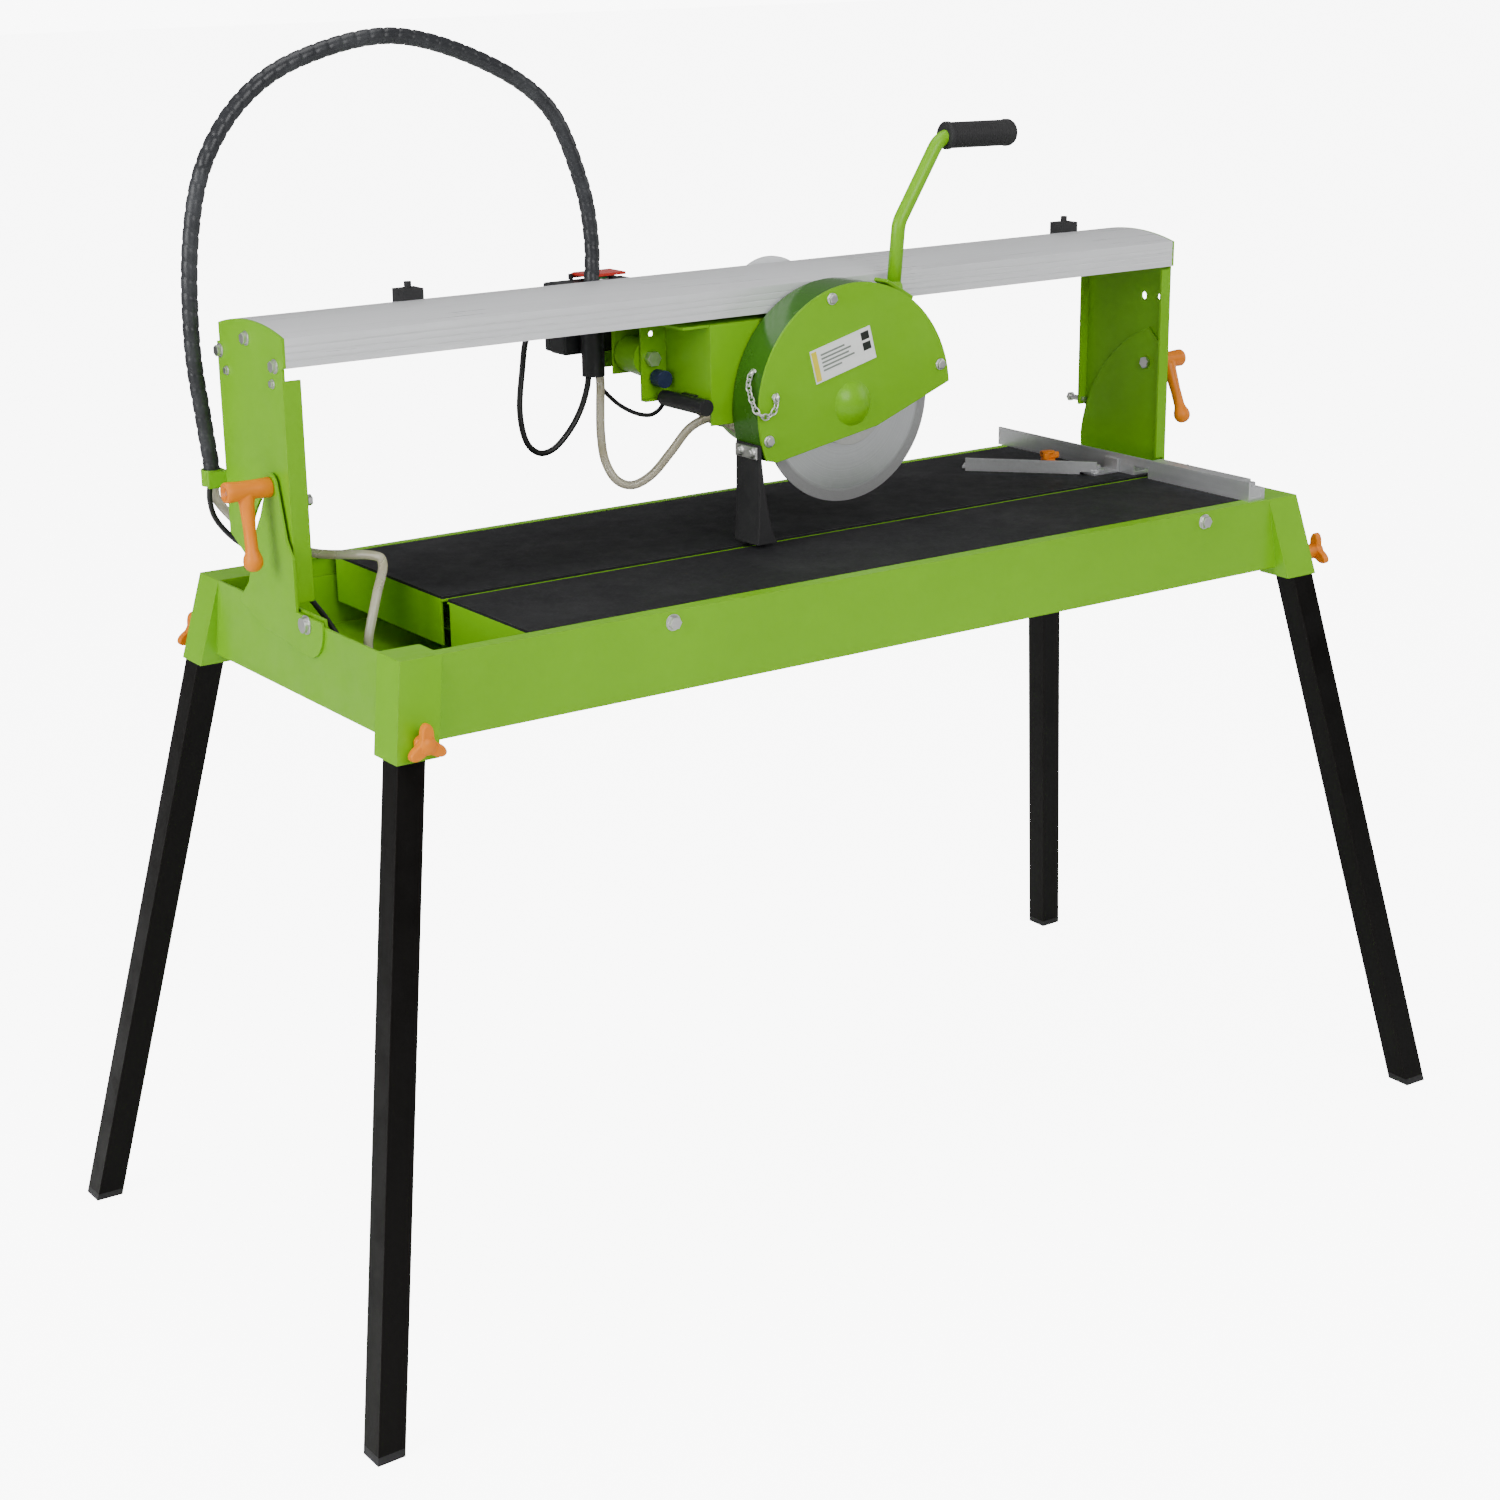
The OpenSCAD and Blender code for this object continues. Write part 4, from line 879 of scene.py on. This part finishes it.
# %% Switch box
box_low = Vector((-0.171, 0.169, 0.949))
box_high = Vector((-0.071, 0.214, 1.029))
body_part = block("body", box_low, (box_high.x, box_high.y - 0.012, box_high.z), 0.004)
lid_part = block("lid", (box_low.x + 0.001, box_high.y - 0.0115, box_low.z + 0.001),
                 (box_high.x - 0.001, box_high.y, box_high.z - 0.001), 0.003)
nuts = []
for origin, axis in (((-0.171, 0.189, 0.985), (-1, 0, 0)), ((-0.141, 0.214, 0.979), (0, 1, 0))):
    nuts.append(turned("nut", [(-0.001, 0.0090), (0.0045, 0.0090), (0.0050, 0.0078), (0.0080, 0.0074),
                               (0.0095, 0.0056), (0.0095, 0.0)], origin, axis, 12, False))
lugs = [block("lug", (x, 0.204, 1.0285), (x + 0.003, 0.211, 1.035), 0.0006) for x in (-0.1375, -0.0835)]
pin = turned("pin", [(0, 0.0015), (0.056, 0.0015)], (-0.137, 0.208, 1.033), (1, 0, 0), 20)
box_piece = joined("switch_housing", [body_part, lid_part, pin] + nuts + lugs)
dress(box_piece, black_plastic, "carriage", "black_plastic", "switch_box")
ring_profile = [(0.0, 0.0115), (0.0015, 0.0112), (0.0020, 0.0100), (0.0005, 0.0094), (0.0, 0.0094)]
ring = turned("start_ring", ring_profile,
              (-0.110, 0.188, 1.0288), (0, 0, 1), 40)
dress(ring, zinc_plate, "carriage", "bright_steel")
screws = []
for x in (-0.163, -0.079):
    for z in (0.957, 1.021):
        screws.append(turned("screw", [(0.0, 0.0030), (0.0008, 0.0030), (0.0012, 0.0022), (0.0012, 0.0)],
                             (x, 0.2139, z), (0, 1, 0), 24))
lid_screws = joined("lid_screws", screws)
dress(lid_screws, zinc_plate, "carriage", "bright_steel")
print("switch box ready")

# %% [markdown]
# ## The splash flap
# A thick rubber flap hangs behind the guard and catches the spray. It is curved and flares at the foot,
# where it brushes the table, and it crumples when the head comes down.

# %% Splash flap
FLAP_LEFT = [(-63.6, 868), (-63.5, 850), (-63.9, 830), (-64.2, 808), (-64.8, 790), (-65.5, 774), (-66.5, 763),
             (-67.5, 756.5)]
FLAP_RIGHT = [(-61, 868), (-60.6, 850), (-58.6, 832), (-56.0, 812), (-52.6, 792), (-48.5, 774), (-44.0, 763),
              (-40.5, 756.5)]
mesh = bmesh.new()
columns = []
for j in range(13):
    y = -0.059 + 0.046 * j / 12
    bulge = 0.0010 * math.sin(math.pi * j / 12)
    left = [mesh.verts.new((x * 0.001 - bulge, y, z * 0.001)) for x, z in FLAP_LEFT]
    right = [mesh.verts.new((x * 0.001 + bulge * (868 - z) / 110, y, z * 0.001)) for x, z in FLAP_RIGHT]
    columns.append(left + right[::-1])
for a, b in zip(columns, columns[1:]):
    for k in range(len(a)):
        n = (k + 1) % len(a)
        mesh.faces.new((a[k], a[n], b[n], b[k]))
mesh.faces.new(columns[0][::-1])
mesh.faces.new(columns[-1])
bmesh.ops.recalc_face_normals(mesh, faces=mesh.faces[:])
flap = finish_mesh("splash_rubber", mesh)
soften(flap, 0.0008, 2, 50)
dress(flap, soft_rubber, "head", "mat_rubber", "splash_flap")
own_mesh(flap)
print("flap ready")

# %% [markdown]
# ## Guard screws, clamp strip and chain
# Three zinc screws hold the guard's front. A strip with two bolts clamps the rubber flap, and a short chain
# of round links hangs in a loop from the rim to a hook on the front, to lift the flap out of the way.

# %% Guard screws and flap clamp
GUARD_FACE = -0.060
guard_screws = []
for x, z in ((0.189, 0.932), (0.035, 1.020), (-0.052, 0.872)):
    guard_screws.append(turned("washer", [(0.0, 0.0066), (0.0014, 0.0066), (0.0016, 0.0062)],
                               (x, GUARD_FACE, z), (0, -1, 0), 32))
    guard_screws.append(turned("hex", [(0.0, 0.0056), (0.0042, 0.0056), (0.0048, 0.0048), (0.0048, 0.0)],
                               (x, GUARD_FACE, z), (0, -1, 0), 6, False))
dress(joined("guard_screws", guard_screws), zinc_plate, "head", "bright_steel")
strip = block("strip", (-0.0667, -0.056, 0.852), (-0.0637, -0.016, 0.866), 0.0008)
strip_parts = [strip]
for y in (-0.048, -0.026):
    strip_parts.append(turned("hex", [(0.0, 0.0046), (0.0036, 0.0046), (0.0041, 0.0038), (0.0041, 0.0)],
                              (-0.0666, y, 0.859), (-1, 0, 0), 6, False))
    strip_parts.append(turned("washer", [(0.0, 0.0058), (0.0010, 0.0058)], (-0.0666, y, 0.859), (-1, 0, 0), 28))
dress(joined("flap_clamp", strip_parts), zinc_plate, "head", "bright_steel", "chain_clamp")

# %% Chain
CHAIN_WIRE, LINK_LONG, LINK_WIDE = 0.0009, 0.0048, 0.0032


def chain_link(centre, along, across):
    """One oval link: a wire ring in the plane of along and across."""
    mesh = bmesh.new()
    normal = along.cross(across)
    rings = []
    for k in range(24):
        angle = math.tau * k / 24
        spot = centre + along * LINK_LONG * math.cos(angle) + across * LINK_WIDE * math.sin(angle)
        outward = (along * LINK_WIDE * math.cos(angle) + across * LINK_LONG * math.sin(angle)).normalized()
        rings.append([mesh.verts.new(spot + CHAIN_WIRE * (math.cos(math.tau * j / 8) * outward
                      + math.sin(math.tau * j / 8) * normal)) for j in range(8)])
    for k in range(24):
        low, high = rings[k], rings[(k + 1) % 24]
        for j in range(8):
            n = (j + 1) % 8
            mesh.faces.new((low[j], low[n], high[n], high[j]))
    bmesh.ops.recalc_face_normals(mesh, faces=mesh.faces[:])
    return finish_mesh("link", mesh)


CHAIN = [(-60, -40, 946), (-68, -45, 936), (-70, -52, 922), (-69, -60, 908), (-62, -65, 901),
         (-53, -65, 902), (-46, -65, 909), (-44, -64, 920)]
chain_route = even_route(smooth_route(millimetres(CHAIN), 12), 0.0066)
links = []
for i, spot in enumerate(chain_route):
    ahead = (chain_route[min(i + 1, len(chain_route) - 1)] - chain_route[max(i - 1, 0)]).normalized()
    side = ahead.cross(Vector((0, 1, 0))).normalized()
    links.append(chain_link(spot, ahead, side if i % 2 else ahead.cross(side).normalized()))
for x, y, z in (CHAIN[0], CHAIN[-1]):
    axis = (-1, -0.4, 0) if y > -60 else (0, -1, 0)
    foot = (x * 0.001 + (0.004 if y > -60 else 0.0), y * 0.001 if y > -60 else GUARD_FACE, z * 0.001)
    links.append(turned("hook", [(0.0, 0.0038), (0.0020, 0.0038), (0.0020, 0.0016), (0.0056, 0.0016),
                                 (0.0056, 0.0030), (0.0068, 0.0026), (0.0068, 0.0)], foot, axis, 24))
dress(joined("guard_chain", links), zinc_plate, "head", "bright_steel")
print("chain links:", len(chain_route))

# %% [markdown]
# ## The plate on the guard
# A white plate with a grey bar for each line of print, a yellow strip and two dark squares. Nothing on it
# can be read: the bars only give it the right look from a step away.

# %% Guard plate
PLATE_TILT = 14.6
plate_place = (Matrix.Translation((0.050, -0.0612, 0.957))
               @ Matrix.Rotation(math.radians(-PLATE_TILT), 4, "Y")
               @ Matrix.Rotation(math.radians(90), 4, "X"))


def print_bar(x0, x1, y0, y1):
    """A thin printed rectangle on the plate, in millimetres from its middle."""
    outline = [(x * 0.001, y * 0.001) for x, y in ((x0, y0), (x1, y0), (x1, y1), (x0, y1))]
    return plate("bar", outline, 0.0003, plate_place)


bars = [print_bar(-30, -30 + width, y, y + 2.0)
        for y, width in ((9.5, 34), (5.0, 42), (0.5, 38), (-4.0, 45), (-8.5, 26))]
dress(joined("plate_print", bars), plate_grey, "head", "white_plate")
squares = [print_bar(28, 39, 6, 15), print_bar(28, 39, -6, 3)]
dress(joined("plate_squares", squares), plate_black, "head", "white_plate")
dress(joined("plate_strip", [print_bar(-42, -35, -17, 17)]), plate_yellow, "head", "white_plate")
print("plate ready")

# %% [markdown]
# ## Floor and light
# A plain pale floor, a large soft light in front and to the left, a weaker one from the right, and a pale
# surround. Large lights give the soft, even look of a product studio.

# %% Floor
floor_finish, tree, shader = new_finish("floor_finish", Roughness=0.9, Emission_Strength=8.0)
place = add(tree, "ShaderNodeTexCoord")
clouds = noise_value(tree, place.outputs["Object"], 3.0)
link(tree, mixed(tree, clouds, (0.86, 0.86, 0.86, 1), (0.88, 0.88, 0.88, 1)), shader.inputs["Base Color"])
seen = add(tree, "ShaderNodeLightPath")
glow = mixed(tree, seen.outputs["Is Camera Ray"], (0, 0, 0, 1), (1, 1, 1, 1))
link(tree, glow, shader.inputs["Emission Color"])
FLOOR_REACH = 30
floor_corners = [(FLOOR_REACH * x, FLOOR_REACH * y) for x, y in ((-1, -1), (1, -1), (1, 1), (-1, 1))]
floor = plate("studio_floor", floor_corners, 0.01, Matrix.Translation((0, 0, -0.0101)))
floor.data.materials.append(floor_finish)

# %% Lights
def area_light(name, place, target, size, power):
    data = bpy.data.lights.new(name, "AREA")
    data.shape = "RECTANGLE"
    data.size, data.size_y = size
    data.energy = power
    lamp = bpy.data.objects.new(name, data)
    scene.collection.objects.link(lamp)
    lamp.location = place
    lamp.rotation_euler = (Vector(target) - Vector(place)).to_track_quat("-Z", "Y").to_euler()
    return lamp


area_light("key", (-0.6, -3.6, 2.6), (0, 0, 0.8), (2.2, 2.2), 110)
area_light("left_fill", (-3.6, -0.4, 1.8), (0, 0, 0.8), (2.0, 2.0), 115)
area_light("right_fill", (3.6, -1.6, 2.0), (0, 0, 0.8), (2.0, 2.0), 35)
area_light("top", (-0.4, 0.2, 4.2), (0, 0, 0.7), (2.4, 2.4), 70)
SURROUND_SEEN, SURROUND_LIGHT = 9.0, 0.28
world = bpy.data.worlds.new("surround")
scene.world = world
world.use_nodes = True
tree = world.node_tree
seen = add(tree, "ShaderNodeLightPath")
background = tree.nodes["Background"]
background.inputs["Color"].default_value = (1, 1, 1, 1)
link(tree, remap(tree, seen.outputs["Is Camera Ray"], 0.0, 1.0, SURROUND_LIGHT, SURROUND_SEEN),
     background.inputs["Strength"])
print("lights ready")
